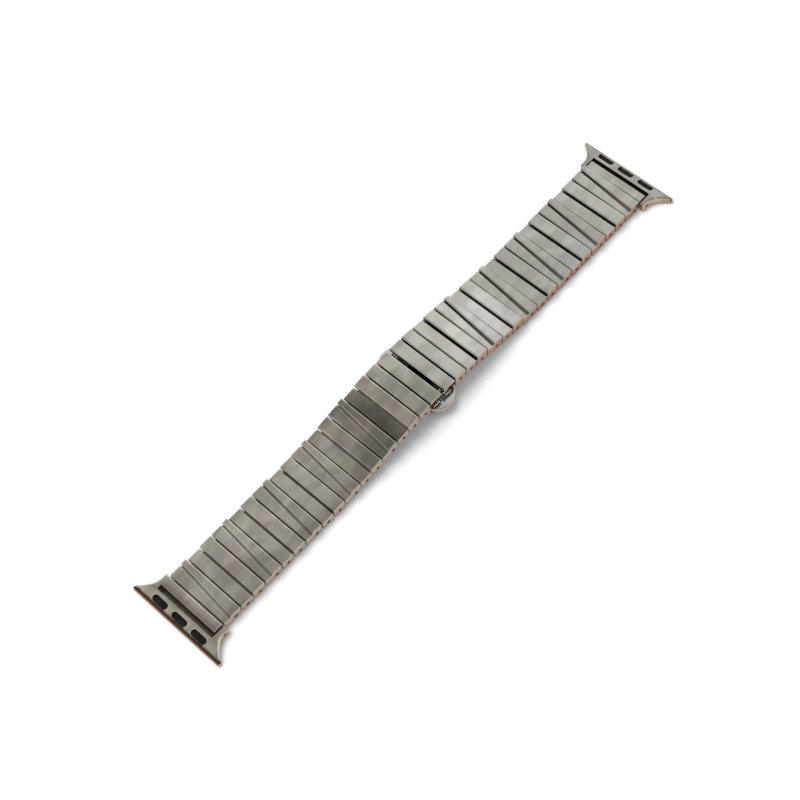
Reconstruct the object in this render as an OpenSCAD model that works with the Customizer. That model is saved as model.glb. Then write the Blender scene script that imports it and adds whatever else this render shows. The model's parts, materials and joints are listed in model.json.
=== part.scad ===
// Metal watch bracelet, laid straight and face up with its butterfly clasp closed.
// X runs along the band, Y across it and Z up from the surface that it lies on.
// The middle of the closed clasp is at X = 0. The near side is -Y, the far side is +Y.

/* [Band] */
// Width of every link across the band
band_w = 20; // [18:0.5:24]
// Length of a plain link along the band
plain_l = 4.4; // [4.4:0.1:5.2]
// Length of the pattern of two plain links and a wedge link
pattern_l = 15; // [14.8:0.1:16.4]
// Length of each of the two links beside the clasp's middle
clasp_link_l = 4.4; // [4.4:0.1:5]
// How many times the pattern of three links repeats in each half
repeats = 5; // [3:1:6]
// Gap between neighbouring links
link_gap = 0.4; // [0.36:0.01:0.5]
// Gap between the two halves of the band at the clasp
middle_gap = 0.9; // [0.6:0.1:1.4]

/* [Link tops] */
// Thickness of a low plain link
low_h = 3.2; // [3:0.1:3.6]
// Thickness of a high plain link
high_h = 3.9; // [3.7:0.1:4.5]
// Thickness of the links beside the clasp's middle
clasp_link_h = 3.7; // [3.2:0.1:4.2]
// Thickness of a wedge link's dip at the far side
dip_far_h = 4; // [3.6:0.1:4.2]
// Thickness of a wedge link's dip at the near side
dip_near_h = 2.95; // [2.9:0.05:3.4]
// Thickness of a wedge link's crest at the far side
crest_far_h = 4.5; // [4.2:0.1:4.7]
// Thickness of a wedge link's crest at the near side
crest_near_h = 3.8; // [3.4:0.1:4.4]
// Length of the dip at the far side
dip_far_l = 4; // [3.4:0.1:4.4]
// Length of the dip at the near side
dip_near_l = 2.4; // [2:0.1:3]
// Width of the groove between dip and crest
groove_w = 0.35; // [0.2:0.05:0.5]
// Bevel on the links' top edges
bevel = 0.2; // [0.1:0.05:0.3]

/* [Link hinges] */
// Diameter of the links' pins
pin_d = 1; // [0.8:0.05:1.1]
// Height of the pins above a link's underside
axis_h = 1.45; // [1.4:0.05:1.6]
// Diameter of the knuckles on the pins
knuckle_d = 2.1; // [1.9:0.05:2.2]
// Width of the cheeks beside each tongue, which hold the pin's ends
cheek_w = 1; // [0.9:0.05:1.5]
// Thickness of the tongue that joins a link to the next
tongue_t = 1.3; // [1:0.1:1.4]
// How far each pin's ends lie inside the link's sides
pin_recess = 0.3; // [0.1:0.05:0.6]

/* [Clasp] */
// Distance from the middle to each arm's hinge on the base plate
hinge_x = 16.6; // [16.2:0.1:18]
// Height of the base plate's hinges
hinge_z = 1; // [1:0.05:1.3]
// Diameter of the knuckles on the base plate's hinges
hinge_knuckle_d = 2; // [1.8:0.05:2]
// Height of the pins that join the arms to the band
tip_z = 3.8; // [3.75:0.05:4.1]
// Diameter of the arms' knuckles on those pins
tip_knuckle_d = 1.7; // [1.5:0.05:1.8]
// Diameter of the clasp's pins
clasp_pin_d = 0.8; // [0.6:0.05:0.9]
// Thickness of the arms
arm_t = 0.9; // [0.7:0.05:0.95]
// How far each arm arches above the line between its pins
arm_bulge = 0.9; // [0.85:0.05:1.1]
// Width of the arms
arm_w = 8.9; // [8:0.1:9]
// Thickness of the base plate
plate_t = 0.9; // [0.7:0.05:1]
// Width of the base plate
plate_w = 9; // [8.4:0.1:9.1]
// Height of the base plate's middle at half its thickness
plate_mid_z = 2.45; // [2.35:0.05:2.5]
// Width of the arms between the plate's prongs
hinge_tab_w = 6; // [5:0.1:6.6]
// Thickness of the ears under the links that hold the arms
ear_t = 1.4; // [1:0.1:1.5]
// Length of the plate's prongs beside each arm
prong_l = 5.4; // [4.6:0.1:5.6]

/* [Push buttons] */
// Length of each button along the band
button_l = 9; // [7.5:0.25:9]
// How far each button stands out past the band's side
button_out = 2.3; // [1.6:0.1:2.8]
// Height of each button
button_h = 2.2; // [1.8:0.1:2.2]
// How far each button travels
button_travel = 1; // [0.6:0.1:1.1]
// Thickness of the clasp links above the buttons
button_roof = 1.3; // [1:0.1:1.6]
// Diameter of each button's stem
stem_d = 1; // [0.8:0.05:1]
// Wire diameter of the return springs
wire_d = 0.25; // [0.2:0.05:0.3]
// Turns in each return spring
spring_turns = 5; // [3:0.5:6]

/* [End lugs] */
// Width of the edge that slides into the watch
edge_w = 32; // [28:0.5:33]
// Length of the flared plate from its pocket to that edge
flare_l = 4; // [3.6:0.1:5]
// Length of the link that fills each lug's pocket
cover_l = 3; // [2.9:0.1:4]
// Open recess between that link and the flared plate
recess_l = 1.4; // [1:0.1:2]
// Thickness of each lug's ears outside the band
lug_ear_t = 1.45; // [1.2:0.05:2]
// Thickness of a lug at its pocket
lug_h = 2.9; // [2.7:0.05:3.2]
// Thickness of a lug beside its sliding edge
lug_edge_h = 2.3; // [2:0.05:2.6]
// Length of each oblong insert across the lug
insert_l = 5.2; // [4:0.1:5.5]
// Width of each oblong insert along the band
insert_w = 1.85; // [1.5:0.05:2]
// Distance between the inserts' middles
insert_pitch = 7.2; // [6.4:0.1:7.5]
// Distance from the sliding edge to the inserts' middle line
insert_back = 2.1; // [2.05:0.05:2.3]
// How far the sprung middle insert travels
latch_travel = 0.5; // [0.3:0.05:0.6]

/* [Fits] */
// Radial clearance of a pin in its bore
pin_fit = 0.03; // [0.02:0.01:0.04]
// Clearance beside and around parts that move
room = 0.15; // [0.13:0.01:0.17]
// Clearance around parts that are set into another
set_fit = 0.04; // [0.03:0.01:0.06]

/* [Hidden] */
$fn = 48;
knuckle_r = knuckle_d / 2;
bore_r = pin_d / 2 + pin_fit;
pocket_r = knuckle_r + room;
// Width of the tongue that joins a link to the next
tongue_w = band_w - 2 * (cheek_w + room);
half_w = band_w / 2;
wedge_l = pattern_l - 2 * plain_l;
// How far cuts run past what they cut, and the length of cuts that go right through
over = 1;
cut_l = 20;
// How much shorter a link is at its underside, at each end
relief = 0.25;
// Bevel along the links' lower side edges
side_bevel = 0.25;
// Height of a tongue's top above its pin's axis
tongue_rise = 0.45;
// Distance from a wedge link's pin to the end of its crest
wedge_pin_l = 2.1;
// Height of the bottom of the groove in a wedge link
groove_floor = 2.95;
// Distance from the middle to where the band lies flat
arch_l = 41;

clasp_bore_r = clasp_pin_d / 2 + pin_fit;
tip_x = middle_gap / 2 + clasp_link_l / 2;
tip_r = tip_knuckle_d / 2;
hinge_r = hinge_knuckle_d / 2;
ear_y = arm_w / 2 + room;
drop = axis_h + tip_r + room;
notch_x = hinge_x - prong_l;
plate_sag = plate_mid_z - hinge_z;
plate_r = (hinge_x * hinge_x + plate_sag * plate_sag) / (2 * plate_sag);
plate_top = plate_mid_z + plate_t / 2;
// How far the plate's sides lie inside the ends of its knuckles
plate_step = 0.1;
// How far the clasp's pins end inside what they hold
clasp_pin_inset = 0.1;
// The nose of each arm, which the latch block takes in
nose_out = 0.35;
nose_w = 4;
nose_h = 0.7;
nose_r = norm([tip_r + nose_out, nose_h / 2]);
nose_slot_w = nose_w + 2 * room;
block_gap = 0.2;
block_x = tip_x - tip_r - block_gap;
block_w = plate_w - 4 * plate_step;
block_top = tip_z + tip_r - 0.1;
stem_z = (plate_top + block_top) / 2;
stem_r = stem_d / 2;
button_r = (button_l * button_l / 4 + button_out * button_out) / (2 * button_out);
button_y = ear_y + ear_t + 2 * room + button_travel;
rivet_r = 0.45;

lug_x = flare_l + recess_l + cover_l / 2;
lug_inner = cover_l / 2 + 0.1;
ear_in = half_w + room;
ear_out = ear_in + lug_ear_t;
// The lip at the sliding edge, and the groove behind it
lip_l = 0.9;
lip_h = 1.4;
lip_groove = 0.4;
lug_bevel = 0.3;
// Where the lug's flared outline starts and how long it is
flare_start = 1;
flare_run = 6;
// Thickness of the lug under the open recess
recess_floor = 0.35;
insert_x = lug_x - insert_back;
// Height of the ledge that the inserts sit on, and of their tops
ledge_h = 0.95;
seat_gap = 0.02;
insert_top = lug_edge_h - 0.1;
// How far the latch stands above the sliding edge's top when it is pushed out
latch_proud = 0.25;
latch_top = lug_edge_h + latch_proud - latch_travel;
// The latch's foot, which goes through the lug, is smaller all round
foot_step = 0.3;
foot_h = 0.08;

// The links of each half from the clasp outwards
right_kinds = concat(["clasp"], [for (i = [1:repeats]) each ["low", "high", "wedge"]]);
left_kinds = concat(["clasp"], [for (i = [1:repeats]) each ["high", "low", "wedge"]]);
link_count = len(right_kinds);

function two_digits(n) = n < 10 ? str("0", n) : str(n);
function link_name(hand, i) = str(hand, "_link_", two_digits(i));
function kinds(side) = concat(["clasp"], side > 0 ? right_kinds : left_kinds, ["cover"]);

// How far a link reaches from its pin towards -X and towards +X
function reach_minus(kind) =
    kind == "wedge" ? wedge_l - wedge_pin_l :
    kind == "clasp" ? clasp_link_l / 2 :
    kind == "cover" ? cover_l / 2 : plain_l / 2;
function reach_plus(kind) =
    kind == "wedge" ? wedge_pin_l :
    kind == "clasp" ? clasp_link_l / 2 :
    kind == "cover" ? cover_l / 2 : plain_l / 2;
function reach_out(kind, side) = side > 0 ? reach_plus(kind) : reach_minus(kind);
function reach_in(kind, side) = side > 0 ? reach_minus(kind) : reach_plus(kind);

// Distance from each link's pin to the next one's, outwards
function pitches(side) =
    let (k = kinds(side))
    [for (i = [0:len(k) - 2]) reach_out(k[i], side) + reach_in(k[i + 1], side)];

function total(list, last) = last < 0 ? 0 : list[last] + total(list, last - 1);

// The band falls from the clasp to the surface along a half wave
function wave(s) = s < arch_l ? sin(180 * s / arch_l) : 0;
function slope_scale(side) =
    let (
        p = pitches(side),
        weights = [for (i = [0:len(p) - 1]) p[i] * wave(tip_x + total(p, i - 1))]
    )
    (tip_z + drop - axis_h) / total(weights, len(weights) - 1);
function slopes(side) =
    let (p = pitches(side), scale = slope_scale(side))
    [for (i = [0:len(p)]) i == len(p) ? 0 : asin(scale * wave(tip_x + total(p, i - 1)))];

// Where each link's pin lies, as distance from the middle and height
function places(side) =
    let (p = pitches(side), a = slopes(side))
    [
        for (
            i = 0, x = tip_x, z = tip_z + drop;
            i <= len(p);
            x = x + (i < len(p) ? p[i] * cos(a[i]) : 0),
            z = z - (i < len(p) ? p[i] * sin(a[i]) : 0),
            i = i + 1
        ) [x, z]
    ];

right_pitches = pitches(1);
left_pitches = pitches(-1);
right_slopes = slopes(1);
left_slopes = slopes(-1);
right_places = places(1);
left_places = places(-1);
echo(right_slopes = right_slopes, right_places = right_places);
echo(left_slopes = left_slopes, left_places = left_places);

// Puts a link's own frame, with its pin at the origin, where it lies on the band
module on_band(side, i) {
    place = side > 0 ? right_places[i] : left_places[i];
    slope = side > 0 ? right_slopes[i] : left_slopes[i];
    translate([side * place[0], 0, place[1]])
        rotate([0, side * slope, 0])
            children();
}

// A cylinder along Y through the frame's origin, centred on it
module cross_cylinder(r, length) {
    rotate([90, 0, 0]) cylinder(r = r, h = length, center = true);
}

// Draws an XZ outline through the whole width across the band
module across(width) {
    rotate([90, 0, 0]) linear_extrude(width, center = true) children();
}

// Draws a YZ outline along X between two places
module along(x0, x1) {
    translate([x0, 0, 0])
        rotate([90, 0, 90])
            linear_extrude(x1 - x0) children();
}

// A link's side outline, with relieved lower ends and bevelled top edges
module link_outline(x0, x1, top, b) {
    polygon([
        [x0, 0], [x0, top - b], [x0 + b, top], [x1 - b, top],
        [x1, top - b], [x1, 0], [x1 - relief, -axis_h], [x0 + relief, -axis_h]
    ]);
}

// A link's end outline, with a top that may fall from the far side to the near side
module end_outline(near_top, far_top) {
    polygon([
        [-half_w + side_bevel, -axis_h], [-half_w, side_bevel - axis_h], [-half_w, near_top - bevel],
        [bevel - half_w, near_top], [half_w - bevel, far_top], [half_w, far_top - bevel],
        [half_w, side_bevel - axis_h], [half_w - side_bevel, -axis_h]
    ]);
}

module plain_body(x0, x1, thickness) {
    top = thickness - axis_h;
    intersection() {
        across(band_w + 2 * over) link_outline(x0, x1, top, bevel);
        along(x0 - over, x1 + over) end_outline(top, top);
    }
}

// One half of a wedge link's top, on the given plan outline
module sloped_top(x0, x1, near_h, far_h, plan) {
    intersection() {
        translate([0, 0, -axis_h]) linear_extrude(far_h + over) polygon(plan);
        along(x0, x1) end_outline(near_h - axis_h, far_h - axis_h);
    }
}

module wedge_body(x0, x1) {
    near_x = dip_near_l - reach_minus("wedge");
    far_x = dip_far_l - reach_minus("wedge");
    half_groove = groove_w / 2;
    tall = crest_far_h - axis_h;
    blunt = 0.01;
    intersection() {
        across(band_w + 2 * over) link_outline(x0, x1, tall, blunt);
        union() {
            intersection() {
                translate([x0, -half_w, -axis_h]) cube([x1 - x0, band_w, groove_floor]);
                along(x0, x1) end_outline(dip_near_h - axis_h, dip_far_h - axis_h);
            }
            sloped_top(x0, x1, dip_near_h, dip_far_h, [
                [x0, -half_w], [near_x - half_groove, -half_w],
                [far_x - half_groove, half_w], [x0, half_w]
            ]);
            sloped_top(x0, x1, crest_near_h, crest_far_h, [
                [near_x + half_groove, -half_w], [x1, -half_w],
                [x1, half_w], [far_x + half_groove, half_w]
            ]);
        }
    }
}

// The tongue that reaches out to the next link's pin
module tongue(root, pitch, side) {
    length = pitch - root;
    translate([side > 0 ? root : -pitch, -tongue_w / 2, tongue_rise - tongue_t])
        cube([length, tongue_w, tongue_t]);
    translate([side * pitch, 0, 0]) cross_cylinder(knuckle_r, tongue_w);
}

// The room that the inner neighbour's tongue needs
module tongue_pocket(reach, side) {
    pocket_w = tongue_w + 2 * room;
    cross_cylinder(pocket_r, pocket_w);
    translate([side > 0 ? -reach : 0, -pocket_w / 2, -axis_h - over])
        cube([reach, pocket_w, axis_h + over + pocket_r]);
    translate([-pocket_r, -pocket_w / 2, -axis_h - over])
        cube([2 * pocket_r, pocket_w, axis_h + over]);
}

module link_shape(kind) {
    x0 = link_gap / 2 - reach_minus(kind);
    x1 = reach_plus(kind) - link_gap / 2;
    if (kind == "wedge") {
        wedge_body(x0, x1);
    } else {
        plain_body(x0, x1, kind == "low" ? low_h : kind == "high" ? high_h : clasp_link_h);
    }
}

module link_pin() {
    color("silver") cross_cylinder(pin_d / 2, band_w - 2 * pin_recess);
}

// Link number i of one half: its body with pocket, tongue and bores, and its own pin
module band_link(side, i) {
    kind = kinds(side)[i];
    pitch = side > 0 ? right_pitches[i] : left_pitches[i];
    on_band(side, i) {
        color(kind == "wedge" ? "darkgray" : kind == "low" ? "gray" : "lightgray")
            difference() {
                union() {
                    difference() {
                        link_shape(kind);
                        tongue_pocket(reach_in(kind, side) + over, side);
                    }
                    tongue(pocket_r + 0.1, pitch, side);
                }
                cross_cylinder(bore_r, band_w + 2 * over);
                translate([side * pitch, 0, 0]) cross_cylinder(bore_r, tongue_w + 2 * over);
            }
        link_pin();
    }
}

// The link at the band's middle, whose ears under it hold an arm's free end
module clasp_link(side) {
    pitch = side > 0 ? right_pitches[0] : left_pitches[0];
    inner = -clasp_link_l / 2;
    outer = clasp_link_l / 2 - link_gap / 2;
    ear_root = 0.4;
    roof_y = button_y - room;
    color("lightgray") difference() {
        union() {
            on_band(side, 0) difference() {
                union() {
                    plain_body(side > 0 ? inner : -outer, side > 0 ? outer : -inner, clasp_link_h);
                    tongue(0, pitch, side);
                }
                for (y = [-1, 1])
                    translate([side * (outer - clasp_link_l), y * (roof_y + half_w), -button_roof])
                        cube([2 * clasp_link_l, 2 * half_w, 2 * (clasp_link_h - axis_h)], center = true);
            }
            for (y = [-1, 1]) translate([side * tip_x, y * (ear_y + ear_t / 2), tip_z]) {
                cross_cylinder(tip_r, ear_t);
                translate([-tip_r, -ear_t / 2, 0]) cube([tip_knuckle_d, ear_t, tip_r + room + ear_root]);
            }
        }
        on_band(side, 0)
            translate([side * pitch, 0, 0]) cross_cylinder(bore_r, tongue_w + 2 * over);
        translate([side * tip_x, 0, tip_z]) {
            cross_cylinder(clasp_bore_r, 2 * (ear_y + ear_t + over));
            cross_cylinder(nose_r + room, nose_slot_w);
        }
    }
    color("silver") translate([side * tip_x, 0, tip_z])
        cross_cylinder(clasp_pin_d / 2, 2 * (ear_y + ear_t - clasp_pin_inset));
}

// A bar bent round an axis along Y: centre, middle radius, thickness, width and angles from +X
module arc_bar(cx, cz, r, thick, width, from, to) {
    translate([cx, 0, cz])
        rotate([90, 0, 0])
            rotate([0, 0, from])
                rotate_extrude(angle = to - from, $fn = 360)
                    translate([r - thick / 2, -width / 2]) square([thick, width]);
}

// Angle by which a bent bar ends before a pin, so that it stops inside the knuckle's wall
function trim_angle(r) = asin((clasp_bore_r + tip_r) / 2 / r);

module base_plate() {
    half_angle = asin(hinge_x / plate_r) - trim_angle(plate_r);
    bar_w = plate_w - 2 * plate_step;
    notch_w = hinge_tab_w + 2 * room;
    color("silver") difference() {
        union() {
            arc_bar(0, plate_mid_z - plate_r, plate_r, plate_t, bar_w, 90 - half_angle, 90 + half_angle);
            for (side = [-1, 1]) translate([side * hinge_x, 0, hinge_z])
                cross_cylinder(hinge_r, plate_w);
        }
        for (side = [-1, 1]) {
            translate([side > 0 ? notch_x : -notch_x - cut_l, -notch_w / 2, -over])
                cube([cut_l, notch_w, cut_l]);
            translate([side * hinge_x, 0, hinge_z]) cross_cylinder(clasp_bore_r, plate_w + 2 * over);
        }
        cylinder(r = rivet_r + pin_fit, h = cut_l);
    }
}

module hinge_pin(side) {
    color("gray") translate([side * hinge_x, 0, hinge_z])
        cross_cylinder(clasp_pin_d / 2, plate_w - 2 * clasp_pin_inset);
}

// An arm from its hinge on the plate to the pin under the clasp link
module right_arm_shape() {
    dx = hinge_x - tip_x;
    dz = hinge_z - tip_z;
    chord = sqrt(dx * dx + dz * dz);
    r = (chord * chord / 4 + arm_bulge * arm_bulge) / (2 * arm_bulge);
    lean = atan2(dz, dx);
    half_angle = asin(chord / 2 / r) - trim_angle(r);
    cx = (tip_x + hinge_x) / 2 + (r - arm_bulge) * sin(lean);
    cz = (tip_z + hinge_z) / 2 - (r - arm_bulge) * cos(lean);
    waist_x = notch_x + room;
    side_w = (arm_w - hinge_tab_w) / 2 + over;
    difference() {
        union() {
            arc_bar(cx, cz, r, arm_t, arm_w, 90 + lean - half_angle, 90 + lean + half_angle);
            translate([tip_x, 0, tip_z]) cross_cylinder(tip_r, arm_w);
            translate([hinge_x, 0, hinge_z]) cross_cylinder(hinge_r, hinge_tab_w);
            translate([tip_x - tip_r - nose_out, -nose_w / 2, tip_z - nose_h / 2])
                cube([tip_r, nose_w, nose_h]);
        }
        for (y = [-1, 1])
            translate([waist_x, y > 0 ? hinge_tab_w / 2 : -hinge_tab_w / 2 - side_w, -over])
                cube([cut_l, side_w, cut_l]);
        translate([tip_x, 0, tip_z]) cross_cylinder(clasp_bore_r, arm_w + 2 * over);
        translate([hinge_x, 0, hinge_z]) cross_cylinder(clasp_bore_r, arm_w + 2 * over);
    }
}

module arm(side) {
    color("darkgray")
        if (side > 0) right_arm_shape();
        else mirror([1, 0, 0]) right_arm_shape();
}

module latch_block() {
    slot_x = block_x - nose_out;
    color("gray") difference() {
        translate([-block_x, -block_w / 2, plate_top]) cube([2 * block_x, block_w, block_top - plate_top]);
        for (side = [-1, 1])
            translate([side > 0 ? slot_x : -slot_x - cut_l, -nose_slot_w / 2, tip_z - nose_h / 2 - room])
                cube([cut_l, nose_slot_w, cut_l]);
        translate([0, 0, stem_z]) cross_cylinder(stem_r + pin_fit, block_w + 2 * over);
        cylinder(r = rivet_r + pin_fit, h = cut_l);
    }
}

module block_rivet() {
    head_h = 0.3;
    head_r = 1;
    head_top = plate_mid_z - plate_t / 2 - 0.05;
    color("silver") {
        translate([0, 0, head_top]) cylinder(r = rivet_r, h = block_top - 0.05 - head_top);
        translate([0, 0, head_top - head_h]) cylinder(r1 = head_r - 0.2, r2 = head_r, h = head_h);
    }
}

// A button with its stem, on the far side. Its cap is a slice of a round disc.
module far_button_shape() {
    centre_y = half_w + button_out - button_r;
    edge = 0.35;
    z0 = block_top - button_h;
    stem_end = rivet_r + button_travel + 3 * room;
    stem_root = 0.2;
    intersection() {
        translate([0, centre_y, z0]) {
            cylinder(r1 = button_r - edge, r2 = button_r, h = edge, $fn = 96);
            translate([0, 0, edge]) cylinder(r = button_r, h = button_h - 2 * edge, $fn = 96);
            translate([0, 0, button_h - edge])
                cylinder(r1 = button_r, r2 = button_r - edge, h = edge, $fn = 96);
        }
        translate([-button_l / 2, button_y, z0 - over]) cube([button_l, cut_l, button_h + 2 * over]);
    }
    translate([0, (button_y + stem_root + stem_end) / 2, stem_z])
        cross_cylinder(stem_r, button_y + stem_root - stem_end);
}

module button(side) {
    color("lightsteelblue")
        if (side > 0) far_button_shape();
        else mirror([0, 1, 0]) far_button_shape();
}

// A coil spring round a button's stem, swept as one tube
function coil_point(t, r, start, rise) =
    [r * cos(360 * t), start + rise * t, r * sin(360 * t)];
function coil_ring(t, r, start, rise, sides) =
    let (
        p = coil_point(t, r, start, rise),
        out = [cos(360 * t), 0, sin(360 * t)]
    )
    [for (j = [0:sides - 1])
        p + wire_d / 2 * (cos(360 * j / sides) * out + sin(360 * j / sides) * [0, 1, 0])];

module far_spring_shape() {
    sides = 8;
    steps = 16;
    end_gap = 0.05;
    r = stem_r + wire_d / 2 + room;
    start = block_w / 2 + wire_d / 2 + end_gap;
    finish = button_y - wire_d / 2 - end_gap;
    rings = steps * spring_turns;
    rise = (finish - start) / spring_turns;
    points = [for (i = [0:rings]) each coil_ring(i / steps, r, start, rise, sides)];
    walls = [for (i = [0:rings - 1]) for (j = [0:sides - 1]) each [
        [i * sides + j, (i + 1) * sides + j, i * sides + (j + 1) % sides],
        [i * sides + (j + 1) % sides, (i + 1) * sides + j, (i + 1) * sides + (j + 1) % sides]
    ]];
    first_cap = [for (j = [1:sides - 2]) [0, j, j + 1]];
    last_cap = [for (j = [1:sides - 2]) [rings * sides, rings * sides + j + 1, rings * sides + j]];
    translate([0, 0, stem_z])
        polyhedron(points = points, faces = concat(walls, first_cap, last_cap), convexity = 6);
}

module spring(side) {
    color("silver")
        if (side > 0) far_spring_shape();
        else mirror([0, 1, 0]) far_spring_shape();
}

// Half the lug's width at a distance from its sliding edge
function lug_half(e) =
    let (t = min(max((e - flare_start) / flare_run, 0), 1))
    ear_out + (edge_w / 2 - ear_out) * (1 - t) * (1 - t);

// An oblong across the band
module oblong(length, width) {
    for (y = [-1, 1]) translate([0, y * (length - width) / 2]) circle(d = width);
    square([width, length - width], center = true);
}

// Where each insert lies: the two pads beside the latch in the middle
module at_inserts(list) {
    for (i = list) translate([insert_x, i * insert_pitch, 0]) children();
}

// Half of the right lug's plan, from the sliding edge round to the ear's inner corner
function lug_plan_half() =
    let (steps = 8)
    concat(
        [[lug_x, edge_w / 2 - lug_bevel], [lug_x - lug_bevel, edge_w / 2]],
        [for (i = [0:steps]) let (e = flare_start + flare_run * i / steps) [lug_x - e, lug_half(e)]],
        [[lug_bevel - lug_inner, ear_out], [-lug_inner, ear_out - lug_bevel], [-lug_inner, ear_in]]
    );

// The right lug's side outline, with its lip at the sliding edge
module lug_side() {
    lip_x = lug_x - lip_l;
    lip_top = lip_h - axis_h;
    groove_z = lip_top - lip_groove;
    shoulder_x = lip_x - lug_bevel;
    pocket_x = cover_l / 2 + recess_l;
    polygon([
        [-lug_inner, lug_bevel - axis_h], [lug_bevel - lug_inner, -axis_h], [lip_x, -axis_h],
        [lug_x, lug_bevel - axis_h], [lug_x, lip_top - lug_bevel], [lug_x - lug_bevel, lip_top],
        [lip_x, lip_top], [lip_x, groove_z], [shoulder_x, groove_z], [shoulder_x, lug_edge_h - axis_h],
        [pocket_x, lug_h - axis_h], [lug_bevel - lug_inner, lug_h - axis_h],
        [-lug_inner, lug_h - lug_bevel - axis_h]
    ]);
}

// The right lug in its own frame, with its pin at the origin
module lug_shape() {
    half = lug_plan_half();
    plan = concat(half, [for (i = [len(half) - 1:-1:0]) [half[i][0], -half[i][1]]]);
    start_x = -lug_inner - over;
    difference() {
        intersection() {
            translate([0, 0, -axis_h]) linear_extrude(lug_h + over) polygon(plan);
            across(edge_w + 2 * over) lug_side();
        }
        translate([start_x, -ear_in, recess_floor - axis_h])
            cube([cover_l / 2 + recess_l - start_x, 2 * ear_in, lug_h]);
        translate([start_x, -ear_in, -axis_h - over])
            cube([cover_l / 2 + room - start_x, 2 * ear_in, lug_h + 2 * over]);
        cross_cylinder(bore_r, 2 * (ear_out + over));
        at_inserts([-1, 0, 1]) translate([0, 0, ledge_h - axis_h])
            linear_extrude(lug_h) oblong(insert_l, insert_w);
        at_inserts([0]) translate([0, 0, -axis_h - over])
            linear_extrude(lug_h) oblong(insert_l - 2 * foot_step, insert_w - 2 * foot_step);
    }
}

module end_cover_shape(side) {
    half = cover_l / 2;
    thickness = side > 0 ? low_h : high_h;
    inner = half - link_gap / 2;
    difference() {
        plain_body(side > 0 ? -inner : -half, side > 0 ? half : inner, thickness);
        tongue_pocket(half + over, side);
        cross_cylinder(bore_r, band_w + 2 * over);
    }
}

// The three that follow draw the right lug's pieces in the lug's own frame
module lug_pin_shape() {
    cross_cylinder(pin_d / 2, 2 * ear_out - 2 * pin_recess);
}

module pads_shape() {
    seat_z = ledge_h + seat_gap;
    at_inserts([-1, 1]) translate([0, 0, seat_z - axis_h])
        linear_extrude(insert_top - seat_z)
            oblong(insert_l - 2 * set_fit, insert_w - 2 * set_fit);
}

module latch_shape() {
    seat_z = ledge_h + seat_gap;
    shrink = 2 * (foot_step + set_fit);
    at_inserts([0]) {
        translate([0, 0, seat_z - axis_h])
            linear_extrude(latch_top - seat_z)
                oblong(insert_l - 2 * set_fit, insert_w - 2 * set_fit);
        translate([0, 0, foot_h - axis_h])
            linear_extrude(seat_z - foot_h + 0.1)
                oblong(insert_l - shrink, insert_w - shrink);
    }
}

// Draws a right-hand lug piece at its end of the band
module at_lug(side) {
    on_band(side, link_count + 1)
        if (side > 0) children();
        else mirror([1, 0, 0]) children();
}

module end_cover(side) {
    color("gray") on_band(side, link_count + 1) end_cover_shape(side);
}

module lug(side) {
    color("lightgray") at_lug(side) lug_shape();
}

module lug_pin(side) {
    color("silver") at_lug(side) lug_pin_shape();
}

module lug_pads(side) {
    color("black") at_lug(side) pads_shape();
}

module lug_latch(side) {
    color([0.1, 0.1, 0.1]) at_lug(side) latch_shape();
}

base_plate();
latch_block();
block_rivet();
hinge_pin(-1);  // left_hinge_pin
hinge_pin(1);  // right_hinge_pin
arm(-1);  // left_arm
arm(1);  // right_arm
button(-1);  // near_button
button(1);  // far_button
spring(-1);  // near_spring
spring(1);  // far_spring
clasp_link(-1);  // left_clasp_link
clasp_link(1);  // right_clasp_link
for (i = [1:link_count])
    band_link(-1, i);
for (i = [1:link_count])
    band_link(1, i);
end_cover(-1);  // left_end_cover
end_cover(1);  // right_end_cover
lug(-1);  // left_lug
lug(1);  // right_lug
lug_pin(-1);  // left_lug_pin
lug_pin(1);  // right_lug_pin
lug_pads(-1);  // left_lug_pads
lug_pads(1);  // right_lug_pads
lug_latch(-1);  // left_lug_latch
lug_latch(1);  // right_lug_latch
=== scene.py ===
import json
import math

import bmesh
import bpy
from mathutils import Matrix, Vector


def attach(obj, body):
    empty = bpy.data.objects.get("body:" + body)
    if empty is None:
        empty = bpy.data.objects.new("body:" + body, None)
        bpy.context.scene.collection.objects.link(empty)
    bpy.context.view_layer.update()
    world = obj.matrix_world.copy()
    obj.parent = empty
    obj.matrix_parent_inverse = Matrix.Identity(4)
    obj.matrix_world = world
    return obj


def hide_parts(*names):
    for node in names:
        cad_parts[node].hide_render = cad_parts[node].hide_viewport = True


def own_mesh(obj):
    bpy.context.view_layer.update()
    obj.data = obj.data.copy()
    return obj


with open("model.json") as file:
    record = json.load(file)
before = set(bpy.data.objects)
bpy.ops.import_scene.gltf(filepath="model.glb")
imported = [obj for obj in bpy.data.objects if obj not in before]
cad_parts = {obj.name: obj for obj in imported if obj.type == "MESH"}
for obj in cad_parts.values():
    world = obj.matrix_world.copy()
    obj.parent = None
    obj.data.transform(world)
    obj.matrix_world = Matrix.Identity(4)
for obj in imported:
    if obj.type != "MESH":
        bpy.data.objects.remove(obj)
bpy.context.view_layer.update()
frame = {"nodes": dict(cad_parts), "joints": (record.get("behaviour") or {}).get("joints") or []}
joints = {joint["name"]: joint for joint in frame["joints"]}
scene = bpy.context.scene
metre = 1000  # pieces are modelled in millimetres and placed in metres
toMetres = Matrix.Scale(1 / metre, 4)
print("frame loaded:", len(frame["nodes"]), "nodes")


# Node trees

# A sign and its reflected form, for a socket on the left or on the right of it
def signs(operation):
    def forward(self, other):
        return self.sum(operation, self, other)

    def reflected(self, other):
        return self.sum(operation, other, self)

    return forward, reflected


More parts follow.
